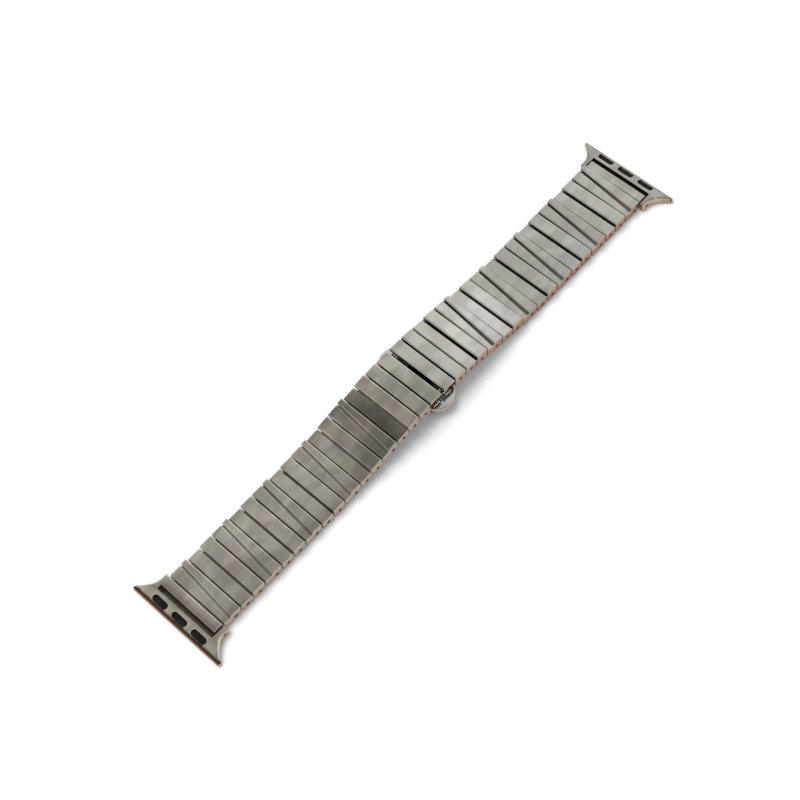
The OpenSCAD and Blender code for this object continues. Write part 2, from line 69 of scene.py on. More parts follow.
class Wire:
    # A socket with plain arithmetic on it: each sign adds a Math node
    __add__, __radd__ = signs("ADD")
    __sub__, __rsub__ = signs("SUBTRACT")
    __mul__, __rmul__ = signs("MULTIPLY")
    __truediv__, __rtruediv__ = signs("DIVIDE")

    def __init__(self, tree, socket):
        self.tree = tree
        self.socket = socket

    def out(self, name):
        return Wire(self.tree, self.socket.node.outputs[name])

    def sum(self, operation, first, second):
        return self.tree.node("ShaderNodeMath", {"operation": operation}, {0: first, 1: second})

    def __neg__(self):
        return self.sum("MULTIPLY", self, -1)

    def __abs__(self):
        return self.sum("ABSOLUTE", self, 0)


class Tree:
    def __init__(self, nodeTree):
        self.nodeTree = nodeTree

    def feed(self, socket, value):
        if isinstance(value, list):
            for one in value:
                self.feed(socket, one)
        elif isinstance(value, Wire):
            self.nodeTree.links.new(value.socket, socket)
        else:
            # Colours are written without their alpha
            socket.default_value = (*value, 1) if socket.type == "RGBA" else value

    # The one way to any node: its type, its settings, then what its sockets hold
    def node(self, kind, settings=None, values=None, out=0):
        made = self.nodeTree.nodes.new(kind)
        for name, value in (settings or {}).items():
            if name == "stops":
                self.setStops(made.color_ramp, value)
            else:
                setattr(made, name, value)
        for name, value in (values or {}).items():
            self.feed(made.inputs[name], value)
        return Wire(self, made.outputs[out]) if made.outputs else made

    def setStops(self, ramp, stops):
        while len(ramp.elements) < len(stops):
            ramp.elements.new(0.5)
        for element, (place, colour) in zip(ramp.elements, stops):
            element.position = place
            element.color = (*colour, 1)

    def vector(self, x, y, z):
        return self.node("ShaderNodeCombineXYZ", None, {0: x, 1: y, 2: z})

    def axes(self, vector):
        return self.node("ShaderNodeSeparateXYZ", None, {0: vector})

    def blend(self, low, high, factor):
        return low + (high - low) * factor

    def mixColour(self, first, second, factor, blendType="MIX"):
        settings = {"data_type": "RGBA", "blend_type": blendType}
        return self.node("ShaderNodeMix", settings, {0: factor, 6: first, 7: second}, out=2)

    # A colour times a factor, which may be tinted
    def shaded(self, colour, shade, tint=(1, 1, 1)):
        factor = self.vector(*[shade * share for share in tint])
        return self.mixColour(colour, factor, 1.0, "MULTIPLY")

    def ramp(self, value, low, high, lowOut=0.0, highOut=1.0):
        values = {0: value, 1: low, 2: high, 3: lowOut, 4: highOut}
        return self.node("ShaderNodeMapRange", {"interpolation_type": "SMOOTHSTEP"}, values)


# A geometry tree with named inputs, listed by the kind of their sockets
def newTree(name, sockets):
    group = bpy.data.node_groups.new(name, "GeometryNodeTree")
    group.interface.new_socket(name="Geometry", in_out="OUTPUT", socket_type="NodeSocketGeometry")
    for kind, inputs in sockets.items():
        for one in inputs:
            group.interface.new_socket(name=one, in_out="INPUT", socket_type="NodeSocket" + kind)
    tree = Tree(group)
    given = tree.node("NodeGroupInput")
    return tree, {one: given.out(one) for inputs in sockets.values() for one in inputs}


def closeTree(tree, geometry, steel):
    real = tree.node("GeometryNodeRealizeInstances", None, {0: geometry})
    painted = tree.node("GeometryNodeSetMaterial", None, {"Geometry": real, "Material": steel})
    tree.node("NodeGroupOutput", None, {0: painted})
    return tree.nodeTree


# Solids from outlines, and the exact boolean

cleaning = {
    "merge": 0.002,
    "flatAngle": 0.4,
    "sharpAngle": 38,
    "sliver": 0.004,  # edges of smaller faces stay crisp
}


def addObject(name, mesh):
    made = bpy.data.objects.new(name, mesh)
    scene.collection.objects.link(made)
    return made


def evaluatedMesh(made):
    bpy.context.view_layer.update()
    graph = bpy.context.evaluated_depsgraph_get()
    return bpy.data.meshes.new_from_object(made.evaluated_get(graph), depsgraph=graph)


# Faces between neighbouring rings, and one on each end
def skinned(name, rings):
    build = bmesh.new()
    rings = [[build.verts.new(place) for place in ring] for ring in rings]
    count = len(rings[0])
    for lower, upper in zip(rings, rings[1:]):
        for i in range(count):
            j = (i + 1) % count
            build.faces.new((lower[i], lower[j], upper[j], upper[i]))
    build.faces.new(rings[0])
    build.faces.new(rings[-1])
    bmesh.ops.recalc_face_normals(build, faces=build.faces)
    mesh = bpy.data.meshes.new(name)
    build.to_mesh(mesh)
    build.free()
    return mesh


# A prism on an outline. Axis Y takes (x, z) points, axis Z takes (x, y) points
def prism(outline, axis, start, end):
    return skinned("prism", [
        [(a, level, b) if axis == "Y" else (a, b, level) for a, b in outline] for level in (start, end)
    ])


def boxSolid(x0, x1, y0, y1, z0, z1):
    x0, x1 = sorted((x0, x1))
    y0, y1 = sorted((y0, y1))
    return prism([(x0, y0), (x1, y0), (x1, y1), (x0, y1)], "Z", z0, z1)


def roundOutline(radius, steps=32):
    turn = 2 * math.pi / steps
    return [(radius * math.cos(i * turn), radius * math.sin(i * turn)) for i in range(steps)]


def oblongOutline(length, width, cx, cy, steps=10):
    radius = width / 2
    points = []
    for side in (1, -1):
        for i in range(steps + 1):
            turn = math.pi * i / steps
            x = cx + side * radius * math.cos(turn)
            points.append((x, cy + side * ((length - width) / 2 + radius * math.sin(turn))))
    return points


# Both edges of a bar bent round a centre, from one angle to another
def arcOutline(cx, cy, radius, thickness, start, end, steps=48):
    points = []
    for side in (1, -1):
        reach = radius + side * thickness / 2
        for i in range(steps + 1):
            share = i / steps if side > 0 else 1 - i / steps
            turn = math.radians(start + (end - start) * share)
            points.append((cx + reach * math.cos(turn), cy + reach * math.sin(turn)))
    return points


def rod(radius, length, place=(0, 0, 0)):
    mesh = prism(roundOutline(radius), "Y", -length / 2, length / 2)
    mesh.transform(Matrix.Translation(place))
    return mesh


# A solid turned about the Z axis, from (radius, z) points
def turned(profile, steps=32):
    return skinned("turned", [[(x, y, z) for x, y in roundOutline(radius, steps)] for radius, z in profile])


# A copy of a solid, on the other side of the middle where the side is -1
def sided(mesh, side, axis):
    copy = mesh.copy()
    if side < 0:
        copy.transform(Matrix.Scale(-1, 4, axis))
        copy.flip_normals()
    return copy


def carve(solid, operation, others):
    work = addObject("work", solid)
    tools = [addObject("tool", other) for other in others]
    for tool in tools:
        step = work.modifiers.new("step", "BOOLEAN")
        step.operation = operation
        step.solver = "EXACT"
        step.object = tool
    result = evaluatedMesh(work)
    for used in [work] + tools:
        bpy.data.objects.remove(used)
    return result


# Every outer corner is rounded alike
def everyCorner(edge):
    return 1.0


# Cleans up after the booleans, and weighs each sharp outer edge for the bevel. The others stay crisp
def weighEdges(mesh, weigh):
    build = bmesh.new()
    build.from_mesh(mesh)
    flat = math.radians(cleaning["flatAngle"])
    sharp = math.radians(cleaning["sharpAngle"])
    bmesh.ops.remove_doubles(build, verts=build.verts, dist=cleaning["merge"])
    bmesh.ops.dissolve_degenerate(build, edges=build.edges, dist=cleaning["merge"])
    bmesh.ops.dissolve_limit(build, angle_limit=flat, verts=build.verts, edges=build.edges)
    weight = build.edges.layers.float.new("bevel_weight_edge")
    for edge in build.edges:
        if len(edge.link_faces) == 2 and edge.calc_face_angle(0) > sharp:
            wide = min(face.calc_area() for face in edge.link_faces) > cleaning["sliver"]
            edge[weight] = weigh(edge) if wide and edge.is_convex else 0.0
            edge.smooth = edge[weight] > 0
    for face in build.faces:
        face.smooth = True
    build.to_mesh(mesh)
    build.free()


# Rounds the edges, brings the piece to its place in metres, hangs it on its body's empty and hides the CAD
# nodes it stands for.
# A finish is the name of a slot and its material
def finishPiece(name, mesh, place, body, finish, width, nodes=(), segments=3, weigh=everyCorner):
    slotName, material = finish
    work = addObject(name, mesh)
    weighEdges(mesh, weigh)
    if width:
        edges = work.modifiers.new("edges", "BEVEL")
        edges.width = width
        edges.segments = segments
        edges.limit_method = "WEIGHT"
        edges.use_clamp_overlap = False
        edges.harden_normals = True
    finished = evaluatedMesh(work)
    work.modifiers.clear()
    finished.transform(toMetres @ place)
    finished.materials.clear()
    finished.materials.append(material)
    work.data = finished
    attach(work, body)
    if nodes:
        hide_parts(*nodes)
    return work


# Steel and rubber. Four numbers are a ramp: from where to where, and what it gives there. Two give 0 and 1

white = (1, 1, 1)
noiseRoughness = 0.55
satin = {
    # Mauve, olive and cool: patchy tones, partly random and partly painted cloudy reflections
    "mauve": (0.606, 0.574, 0.552),
    "olive": (0.588, 0.602, 0.546),
    "cool": (0.600, 0.602, 0.592),
    "brown": (0.430, 0.380, 0.345),
    # The rose and copper of the side faces and the colour of the lugs' end faces are painted reflections of a
    # warm surface
    "roseReflection": (0.430, 0.340, 0.275),
    "copperReflection": (0.360, 0.205, 0.130),
    "end": (0.380, 0.215, 0.130),
    # A painted warm reflection over the left half
    "leftWarmth": (1.03, 1.0, 0.965),
    "patchSize": 0.0075,
    "driftScale": 2.3,
    "cloudSize": (0.009, 0.0045, 0.010),
    "grainSize": (0.0022, 0.00022, 0.0004),
    "wearSize": (0.0045, 0.0016, 0.004),
    "swellSize": (0.016, 0.007, 0.010),
    "swellHeight": 0.00030,
    "grainHeight": 0.0000006,
    "hue": (0.42, 0.58),
    "coolness": (0.45, 0.62, 0.0, 0.7),
    "wearTone": (0.3, 0.7, 0.96, 1.03),
    "grainTone": (0.25, 0.75, 0.97, 1.03),
    "rightward": (-0.004, 0.004),
    # Partly random tone and partly painted cloudy reflections
    "cloudToneAndSheen": {"left": (0.36, 0.64, 0.82, 1.14), "right": (0.36, 0.64, 0.88, 1.10)},
    # Painted light across the band: lighter towards the far side, mostly in the left half
    "acrossLightTones": {"left": (-0.009, 0.009, 0.88, 1.16), "right": (-0.009, 0.009, 0.99, 1.03)},
    # Darker brown patches towards the band's sides, more in the left half
    "brownSideReach": (0.0045, 0.0095),
    "brownSideDrift": (0.46, 0.6),
    "brownSideShare": (-0.02, 0.02, 0.55, 0.25),
    "wallFacing": (0.6, 0.9),
    # Painted shade on the walls in the gaps between links
    "wallShade": (-0.003, 0.003, 0.35, 0.40),
    "middleShade": (0.0011, 0.0014, 0.6, 1.0),  # painted shade on the walls of the gap between the clasp links
    # A painted dark reflection over a few links left of the clasp
    "dimReflectionStart": (-0.030, -0.022),
    "dimReflectionEnd": (-0.019, -0.013, 1.0, 0.0),
    "dimReflectionShare": 0.2,
    "copperShare": (-0.03, 0.03),
    "copperDrift": 0.03,
    "sideFacing": (0.55, 0.9),
    "rough": (0.25, 0.75, 0.17, 0.25),
    "grainRough": 0.06,
}
# A painted dark reflection on one link left of the clasp
darkReflectionTones = {
    "far": (0.002, 0.009, 0.46, 0.86),
    "near": (-0.009, -0.004, 0.1, 0.0),
    "tint": (1, 0.955, 0.94),
}
lugTones = {
    "rightShade": (-0.01, 0.01, 1.0, 0.60),  # painted shade: the right one is darker than its neighbours
    "rightShadeTint": (1, 0.99, 0.98),
    # Painted shade in the recess beside the end cover
    "recessStart": (0.08670, 0.08680),
    "recessEnd": (0.08828, 0.08840, 1.0, 0.0),
    "recessTop": (0.0026, 0.0028, 1.0, 0.0),
    "recessSide": (0.0101, 0.0103, 1.0, 0.0),
    "recess": (0.170, 0.145, 0.130),
    # Painted shade on top of the left lug's lip
    "lipEdge": (-0.0914, -0.0912, 1.0, 0.0),
    "lipTop": (0.0018, 0.0021, 1.0, 0.0),
    "lip": (0.075, 0.062, 0.052),
    # A painted reflection on the lugs' end faces
    "endReflection": (-0.09195, -0.09185, 1.0, 0.0),
}
# Painted shade on the end covers towards the recess
coverTones = {
    "left": (0.62, 0.54, 0.53),
    "right": (0.92, 0.90, 0.90),
    "rightward": (-0.01, 0.01),
    "fall": (0.0846, 0.0869),
}
polish = {
    "hazeSize": 0.004,
    "haze": (0.3, 0.7, 0.94, 1.0),
    "roughHaze": (0.3, 0.7),
    "roughShares": (0.75, 1.3),
    "scuffSize": (0.0016, 0.0003, 0.0008),
    "scuffs": {"Strength": 0.04, "Distance": 0.00001},
}
buttonTones = {
    # A painted reflection down the outer side
    "flankSide": (0.0098, 0.0102),
    "flankFacing": (0.75, 0.97, 1.0, 0.0),
    "flankReflection": (0.40, 0.31, 0.26),
    # Painted shade in the pockets
    "deepTop": (0.0036, 0.0040, 1.0, 0.0),
    "deepShade": (0.02, 0.02, 0.02),
}
rubber = {
    "dark": (0.006, 0.006, 0.006),
    "dusty": (0.014, 0.013, 0.012),
    "pitSize": 0.00035,
    "pits": {"Strength": 0.25, "Distance": 0.00003},
    "dustSize": 0.0022,
    "dust": (0.4, 0.75),
    "rough": (0.3, 0.7, 0.42, 0.6),
    "specular": 0.15,
}


def newMaterial(name):
    material = bpy.data.materials.new(name)
    material.use_nodes = True
    material.node_tree.nodes.clear()
    return material, Tree(material.node_tree)


def closeMaterial(tree, values, relief):
    bump = tree.node("ShaderNodeBump", None, relief)
    surface = tree.node("ShaderNodeBsdfPrincipled", None, {**values, "Normal": bump})
    tree.node("ShaderNodeOutputMaterial", None, {"Surface": surface})


def objectPlace(tree):
    return tree.node("ShaderNodeTexCoord").out("Object")


def facing(tree):
    return tree.axes(tree.node("ShaderNodeNewGeometry").out("Normal"))


def noise(tree, place, size, detail):
    sizes = size if isinstance(size, tuple) else (size, size, size)
    scaled = tree.node("ShaderNodeMapping", None, {"Vector": place, "Scale": tuple(1 / s for s in sizes)})
    values = {"Vector": scaled, "Scale": 1.0, "Detail": detail, "Roughness": noiseRoughness}
    return tree.node("ShaderNodeTexNoise", None, values)


# Painted dark reflection: one link left of the clasp is much darker than the rest, and paler again towards
# its far end
def darkReflectionShade(tree, top, axes):
    shade = tree.ramp(axes.out("Y"), *darkReflectionTones["far"]) + tree.ramp(axes.out("Y"), *darkReflectionTones["near"])
    return tree.shaded(top, shade, darkReflectionTones["tint"])


# Painted shade: the lugs are dark in the recess beside the end cover, and the left one on top of its lip. The
# right one is shaded all over, and the end faces take a painted reflection
def lugShade(tree, top, axes):
    along, reach, up = axes.out("X"), abs(axes.out("X")), axes.out("Z")
    # Painted shade over the right lug
    top = tree.shaded(top, tree.ramp(along, *lugTones["rightShade"]), lugTones["rightShadeTint"])
    # Painted shade in the recess beside the end cover
    recess = tree.ramp(reach, *lugTones["recessStart"]) * tree.ramp(reach, *lugTones["recessEnd"])
    recess = recess * tree.ramp(up, *lugTones["recessTop"])
    recess = recess * tree.ramp(abs(axes.out("Y")), *lugTones["recessSide"])
    top = tree.mixColour(top, lugTones["recess"], recess)
    # Painted shade on top of the left lug's lip
    lip = tree.ramp(along, *lugTones["lipEdge"]) * tree.ramp(up, *lugTones["lipTop"])
    top = tree.mixColour(top, lugTones["lip"], lip)
    # A painted reflection on the lugs' end faces
    return tree.mixColour(top, satin["end"], tree.ramp(along, *lugTones["endReflection"]))


# Painted shade: the end covers darken towards the recess
def coverShade(tree, top, axes):
    rightward = tree.ramp(axes.out("X"), *coverTones["rightward"])
    deepShade = tree.mixColour(coverTones["left"], coverTones["right"], rightward)
    fall = tree.ramp(abs(axes.out("X")), *coverTones["fall"])
    return tree.mixColour(top, tree.mixColour(white, deepShade, fall), 1.0, "MULTIPLY")


# Satin steel: patchy grey tones, partly random and partly painted cloudy reflections, a fine grain along the
# band, and painted reflections of a warm surface on the faces along its two sides, rose in the left half and
# copper in the right. The ends of the lugs take a painted reflection too
def satinSteel(name, look, sideReflectionShare=1.0, endReflectionShare=0.0, tone=1.0, shading=None):
    material, tree = newMaterial(name)
    place = objectPlace(tree)
    axes = tree.axes(place)
    along, across = axes.out("X"), axes.out("Y")
    patches = noise(tree, place, look["patchSize"], 1.5)
    drift = noise(tree, place, look["patchSize"] * look["driftScale"], 1.0)
    grain = noise(tree, place, look["grainSize"], 2.0)
    wear = noise(tree, place, look["wearSize"], 4.0)
    clouds = noise(tree, place, look["cloudSize"], 1.5)
    swell = noise(tree, place, look["swellSize"], 0.0)
    rightward = tree.ramp(along, *look["rightward"])
    facingX, facingY = [abs(facing(tree).out(axis)) for axis in "XY"]

    # Mauve, olive and cool patches: partly random tone and partly painted cloudy reflections
    top = tree.mixColour(look["olive"], look["mauve"], tree.ramp(patches, *look["hue"]))
    top = tree.mixColour(top, look["cool"], tree.ramp(drift, *look["coolness"]))
    # Darker brown patches towards the band's sides, more in the left half
    brownSides = tree.ramp(abs(across), *look["brownSideReach"]) * tree.ramp(drift, *look["brownSideDrift"])
    top = tree.mixColour(top, look["brown"], brownSides * tree.ramp(along, *look["brownSideShare"]))
    # A painted warm reflection over the left half
    warm = tree.mixColour(look["leftWarmth"], white, rightward)
    top = tree.mixColour(top, warm, 1.0, "MULTIPLY")

    shade = tree.ramp(wear, *look["wearTone"]) * tree.ramp(grain, *look["grainTone"]) * tone
    # Cloud tones are partly random and partly painted cloudy reflections; across the band, painted light
    # makes the far side lighter
    for tones, value in (("cloudToneAndSheen", clouds), ("acrossLightTones", across)):
        left, right = [tree.ramp(value, *look[tones][hand]) for hand in ("left", "right")]
        shade = shade * tree.blend(left, right, rightward)
    # Painted shade on the walls in the gaps between links, darkest between the clasp links
    walls = tree.ramp(facingX, *look["wallFacing"]) * (1 - endReflectionShare)
    wallShade = tree.ramp(along, *look["wallShade"]) * tree.ramp(abs(along), *look["middleShade"])
    # A painted dark reflection over a few links left of the clasp
    dimReflection = tree.ramp(along, *look["dimReflectionStart"]) * tree.ramp(along, *look["dimReflectionEnd"])
    shade = shade * (1 - walls * (1 - wallShade)) * (1 - dimReflection * look["dimReflectionShare"])
    top = tree.shaded(top, shade)
    if shading:
        top = shading(tree, top, axes)

    # Painted reflections of a warm surface: rose and copper on the side faces, and the end colour on the
    # lugs' end faces
    copperShare = tree.ramp(along + (wear - 0.5) * look["copperDrift"], *look["copperShare"])
    side = tree.mixColour(look["roseReflection"], look["copperReflection"], copperShare)
    colour = tree.mixColour(top, side, tree.ramp(facingY, *look["sideFacing"]) * sideReflectionShare)
    colour = tree.mixColour(colour, look["end"], tree.ramp(facingX, *look["wallFacing"]) * endReflectionShare)
    rough = tree.ramp(wear, *look["rough"]) + (grain - 0.5) * look["grainRough"]
    height = swell * look["swellHeight"] + grain * look["grainHeight"]
    relief = {"Strength": 1.0, "Distance": 1.0, "Height": height}
    closeMaterial(tree, {"Base Color": colour, "Metallic": 1.0, "Roughness": rough}, relief)
    return material


# Painted shade makes the buttons dark in the pockets beside their nose, and a painted reflection makes them
# rosy down their outer side
def buttonShade(tree, colour, axes):
    # A painted reflection, rosy down the outer side
    flankReflection = tree.ramp(abs(axes.out("Y")), *buttonTones["flankSide"])
    flankReflection = flankReflection * tree.ramp(facing(tree).out("Z"), *buttonTones["flankFacing"])
    colour = tree.mixColour(colour, buttonTones["flankReflection"], flankReflection)
    # Painted shade in the pockets beside the nose
    deepShade = tree.ramp(axes.out("Z"), *buttonTones["deepTop"]) * (1 - flankReflection)
    return tree.mixColour(colour, buttonTones["deepShade"], deepShade)


def polishedSteel(name, colour, roughness, shading=None):
    material, tree = newMaterial(name)
    place = objectPlace(tree)
    haze = noise(tree, place, polish["hazeSize"], 4.0)
    scuffs = noise(tree, place, polish["scuffSize"], 2.0)
    tinted = tree.shaded(colour, tree.ramp(haze, *polish["haze"]))
    if shading:
        tinted = shading(tree, tinted, tree.axes(place))
    rough = tree.ramp(haze, *polish["roughHaze"], *[roughness * share for share in polish["roughShares"]])
    relief = {**polish["scuffs"], "Height": scuffs}
    closeMaterial(tree, {"Base Color": tinted, "Metallic": 1.0, "Roughness": rough}, relief)
    return material


def mattBlack(name, look):
    material, tree = newMaterial(name)
    place = objectPlace(tree)
    pits = noise(tree, place, look["pitSize"], 3.0)
    dust = noise(tree, place, look["dustSize"], 4.0)
    colour = tree.mixColour(look["dark"], look["dusty"], tree.ramp(dust, *look["dust"]))
    rough = tree.ramp(dust, *look["rough"])
    values = {"Base Color": colour, "Roughness": rough, "Specular IOR Level": look["specular"]}
    closeMaterial(tree, values, {**look["pits"], "Height": pits})
    return material


# The lugs' rose and copper are painted reflections too
lugLook = {
    **satin,
    "mauve": (0.600, 0.600, 0.575),
    "roseReflection": (0.430, 0.320, 0.250),
    "copperReflection": (0.480, 0.320, 0.270),
}
linkFinish = ("brushed_link", satinSteel("linkSteel", satin))
darkReflectionFinish = ("brushed_link", satinSteel("darkReflectionSteel", satin, shading=darkReflectionShade))
coverFinish = ("lug_steel", satinSteel("coverSteel", satin, shading=coverShade))
lugFinish = ("lug_steel", satinSteel("lugSteel", lugLook, endReflectionShare=1.0, tone=1.16, shading=lugShade))
claspFinish = ("clasp_steel", satinSteel("claspSteel", satin, sideReflectionShare=0.25, tone=1.03))
blockFinish = ("clasp_steel", polishedSteel("innerShadeSteel", (0.035, 0.030, 0.026), 0.35))  # painted near black, for the shade in the gap between the clasp links
buttonFinish = ("polished_button", polishedSteel("buttonSteel", (0.74, 0.76, 0.78), 0.14, buttonShade))
pinFinish = ("bright_steel", polishedSteel("pinSteel", (0.52, 0.46, 0.42), 0.3))
insertFinish = ("black_insert", mattBlack("insertBlack", rubber))
print("materials made")


# Links

linkSizes = {
    "Width": 20.0, "Pin Height": 1.45, "Relief": 0.12, "Groove Width": 0.35, "Groove Floor": 2.95,
    "Knuckle Radius": 1.05, "Pocket Radius": 1.2, "Pocket Width": 18.0, "Tongue Width": 17.7,
    "Tongue Thickness": 1.3, "Tongue Top": 0.45, "Bore Radius": 0.53,
}
linkKinds = {
    "plainLength": 4.4,
    "wedgeLength": 6.2,
    "wedgePin": 2.1,
    "gap": 0.26,
    # Pairs are for the near and the far side
    "tops": {"low": (3.2, 3.2), "high": (3.9, 3.9), "clasp": (3.7, 3.7), "wedge": (3.8, 4.5)},
    "dipTops": (2.95, 4.0),
    "dipLengths": (2.4, 4.0),
    "rootGap": 0.1,  # from the pocket's wall to the tongue's start
    "coverLength": 3.0,
    "coverOver": 0.12,  # closes the slit beside the lug's floor
    "coverUnder": 0.03,  # room to turn beside the last link
    "coverWidth": 19.6,
    "coverPitch": 10.0,  # the bore for a next pin falls clear of the cover
    "edge": 0.45,  # the tops' edges along the band's sides; the others take the shares below
    "crossShare": 0.16,
    "middleShare": 0.6,  # beside the gap between the clasp links
    "slantShare": 0.03,
    "cornerShare": 0.2,
    "footShare": 0.5,
    "topFrom": 1.0,  # above the pins, where the tops' edges begin along the sides and across
    "crossFrom": 1.3,
    "boreRim": 0.1,
}
linkOrder = {"left": ("high", "low", "wedge"), "right": ("low", "high", "wedge")}
linkCount = 16
armPinDrop = 2.45  # a clasp link's own axis lies this far above the arm's pin
bandBottom = -linkSizes["Pin Height"]
over = 1  # how far cutters run on past what they cut
pinSizes = {
    "link": {"radius": 0.5, "length": 18.8, "edge": 0.12},
    "lug": {"radius": 0.5, "length": 21.8, "edge": 0.12},
    "clasp": {"radius": 0.4, "length": 11.8, "edge": 0.08},
    "hinge": {"radius": 0.4, "length": 8.8, "edge": 0.08},
}


def addPin(name, kind, body, place, centre=(0, 0, 0), nodes=()):
    size = pinSizes[kind]
    mesh = rod(size["radius"], size["length"], centre)
    finishPiece(name, mesh, place, body, pinFinish, size["edge"], nodes)


def moved(tree, mesh, place, turn=(0, 0, 0)):
    values = {"Geometry": mesh, "Translation": place, "Rotation": turn}
    return tree.node("GeometryNodeTransform", None, values)


def newLinkTree():
    ends = ["Start", "End", "Near Top", "Far Top", "Pitch", "Outward", "Inner Reach"]
    dips = ["Dip Near Top", "Dip Far Top", "Dip Near End", "Dip Far End"]
    flags = ["Wedge", "Pocket", "Tongue"]
    floats = ends + dips + list(linkSizes)
    tree, size = newTree("linkTree", {"Float": floats, "Bool": flags, "Material": ["Steel"]})
    underside = -size["Pin Height"]

    # A block on eight corners. Its ends and heights are single values, or pairs for the near and the far side
    def slantedBlock(start, end, bottom, top, half, relief=0.0):
        cube = tree.node("GeometryNodeMeshCube", None, {"Size": (2, 2, 2)})
        corner = tree.axes(tree.node("GeometryNodeInputPosition"))
        along, far, up = [(corner.out(axis) + 1) / 2 for axis in "XYZ"]
        limits = (start, end, bottom, top)
        start, end, bottom, top = [tree.blend(*one, far) if isinstance(one, tuple) else one for one in limits]
        x = tree.blend(start, end, along) - corner.out("X") * (1 - up) * relief
        place = tree.vector(x, corner.out("Y") * half, tree.blend(bottom, top, up))
        return tree.node("GeometryNodeSetPosition", None, {"Geometry": cube, "Position": place})

    # A box between two places along X, given in either order
    def box(first, second, half, bottom, top):
        ends = {0: first, 1: second}
        start = tree.node("ShaderNodeMath", {"operation": "MINIMUM"}, ends)
        end = tree.node("ShaderNodeMath", {"operation": "MAXIMUM"}, ends)
        extent = tree.vector(end - start, half * 2, top - bottom)
        cube = tree.node("GeometryNodeMeshCube", None, {"Size": extent})
        return moved(tree, cube, tree.vector((start + end) / 2, 0, (bottom + top) / 2))

    def crossRod(radius, length, x):
        bar = tree.node("GeometryNodeMeshCylinder", None, {"Vertices": 32, "Radius": radius, "Depth": length})
        return moved(tree, bar, tree.vector(x, 0, 0), (math.pi / 2, 0, 0))

    def boolean(operation, first, others):
        values = {"Mesh 2": [first] + others} if operation == "UNION" else {"Mesh 1": first, "Mesh 2": others}
        return tree.node("GeometryNodeMeshBoolean", {"operation": operation, "solver": "EXACT"}, values)

    def choose(flag, no, yes):
        values = {"Switch": size[flag], "False": no, "True": yes}
        return tree.node("GeometryNodeSwitch", {"input_type": "GEOMETRY"}, values)

    # Near and far values of a slant, as it runs on past each side
    def carriedOn(near, far):
        rise = (size[far] - size[near]) * (over / size["Width"])
        return size[near] - rise, size[far] + rise

    tops = (size["Near Top"], size["Far Top"])
    halfWidth = size["Width"] / 2
    slab = slantedBlock(size["Start"], size["End"], underside, tops, halfWidth, size["Relief"])

    # The slanting dip and the groove beside the crest
    nearX, farX = carriedOn("Dip Near End", "Dip Far End")
    floors = carriedOn("Dip Near Top", "Dip Far Top")
    above = size["Far Top"] + 3 * over
    dip = slantedBlock(size["Start"] - over, (nearX, farX), floors, above, halfWidth + over)
    half = size["Groove Width"] / 2
    floor = size["Groove Floor"] - size["Pin Height"]
    lines = [(nearX + side * half, farX + side * half) for side in (-1, 1)]
    groove = slantedBlock(*lines, floor, above, halfWidth + over)
    slab = choose("Wedge", slab, boolean("DIFFERENCE", slab, [dip, groove]))

    # The pocket for the inner neighbour's tongue
    radius = size["Pocket Radius"]
    pocketHalf = size["Pocket Width"] / 2
    inward = -size["Outward"] * (size["Inner Reach"] + over)
    pocket = boolean("UNION", crossRod(radius, size["Pocket Width"], 0.0), [
        box(inward, 0.0, pocketHalf, underside - over, radius),
        box(-radius, radius, pocketHalf, underside - over, 0.0),
    ])
    slab = choose("Pocket", slab, boolean("DIFFERENCE", slab, [pocket]))

    # The tongue with its knuckle, and the bores
    root = (radius + linkKinds["rootGap"]) * size["Outward"]
    tip = size["Pitch"] * size["Outward"]
    tongueLow = size["Tongue Top"] - size["Tongue Thickness"]
    tongue = box(root, tip, size["Tongue Width"] / 2, tongueLow, size["Tongue Top"])
    knuckle = crossRod(size["Knuckle Radius"], size["Tongue Width"], tip)
    body = choose("Tongue", slab, boolean("UNION", slab, [tongue, knuckle]))
    ownBore = crossRod(size["Bore Radius"], size["Width"] + 2 * over, 0.0)
    nextBore = crossRod(size["Bore Radius"], size["Tongue Width"] + over, tip)
    bored = choose("Pocket", body, boolean("DIFFERENCE", body, [ownBore]))
    return closeTree(tree, boolean("DIFFERENCE", bored, [nextBore]), size["Steel"])


def runTree(group, values):
    work = addObject("work", bpy.data.meshes.new("empty"))
    modifier = work.modifiers.new("tree", "NODES")
    modifier.node_group = group
    named = {item.name: item.identifier for item in group.interface.items_tree if item.in_out == "INPUT"}
    for name, value in values.items():
        modifier[named[name]] = value
    mesh = evaluatedMesh(work)
    bpy.data.objects.remove(work)
    return mesh


# Where each pin lies in one half, from the clasp outwards, in millimetres
def pinPlaces(hand):
    names = ["clasp_link"] + [f"link_{i:02d}" for i in range(1, linkCount + 1)] + ["lug"]
    places = [Vector(joints[f"{hand}_{name}_hinge"]["pos_m"]) * metre for name in names]
    places[0] += Vector((0, 0, armPinDrop))
    return places


def linkFrame(places, i):
    slope = 0.0
    if i + 1 < len(places):
        step = places[i + 1] - places[i]
        slope = math.atan2(-step.z, abs(step.x)) * (1 if step.x > 0 else -1)
    return Matrix.Translation(places[i]) @ Matrix.Rotation(slope, 4, "Y")


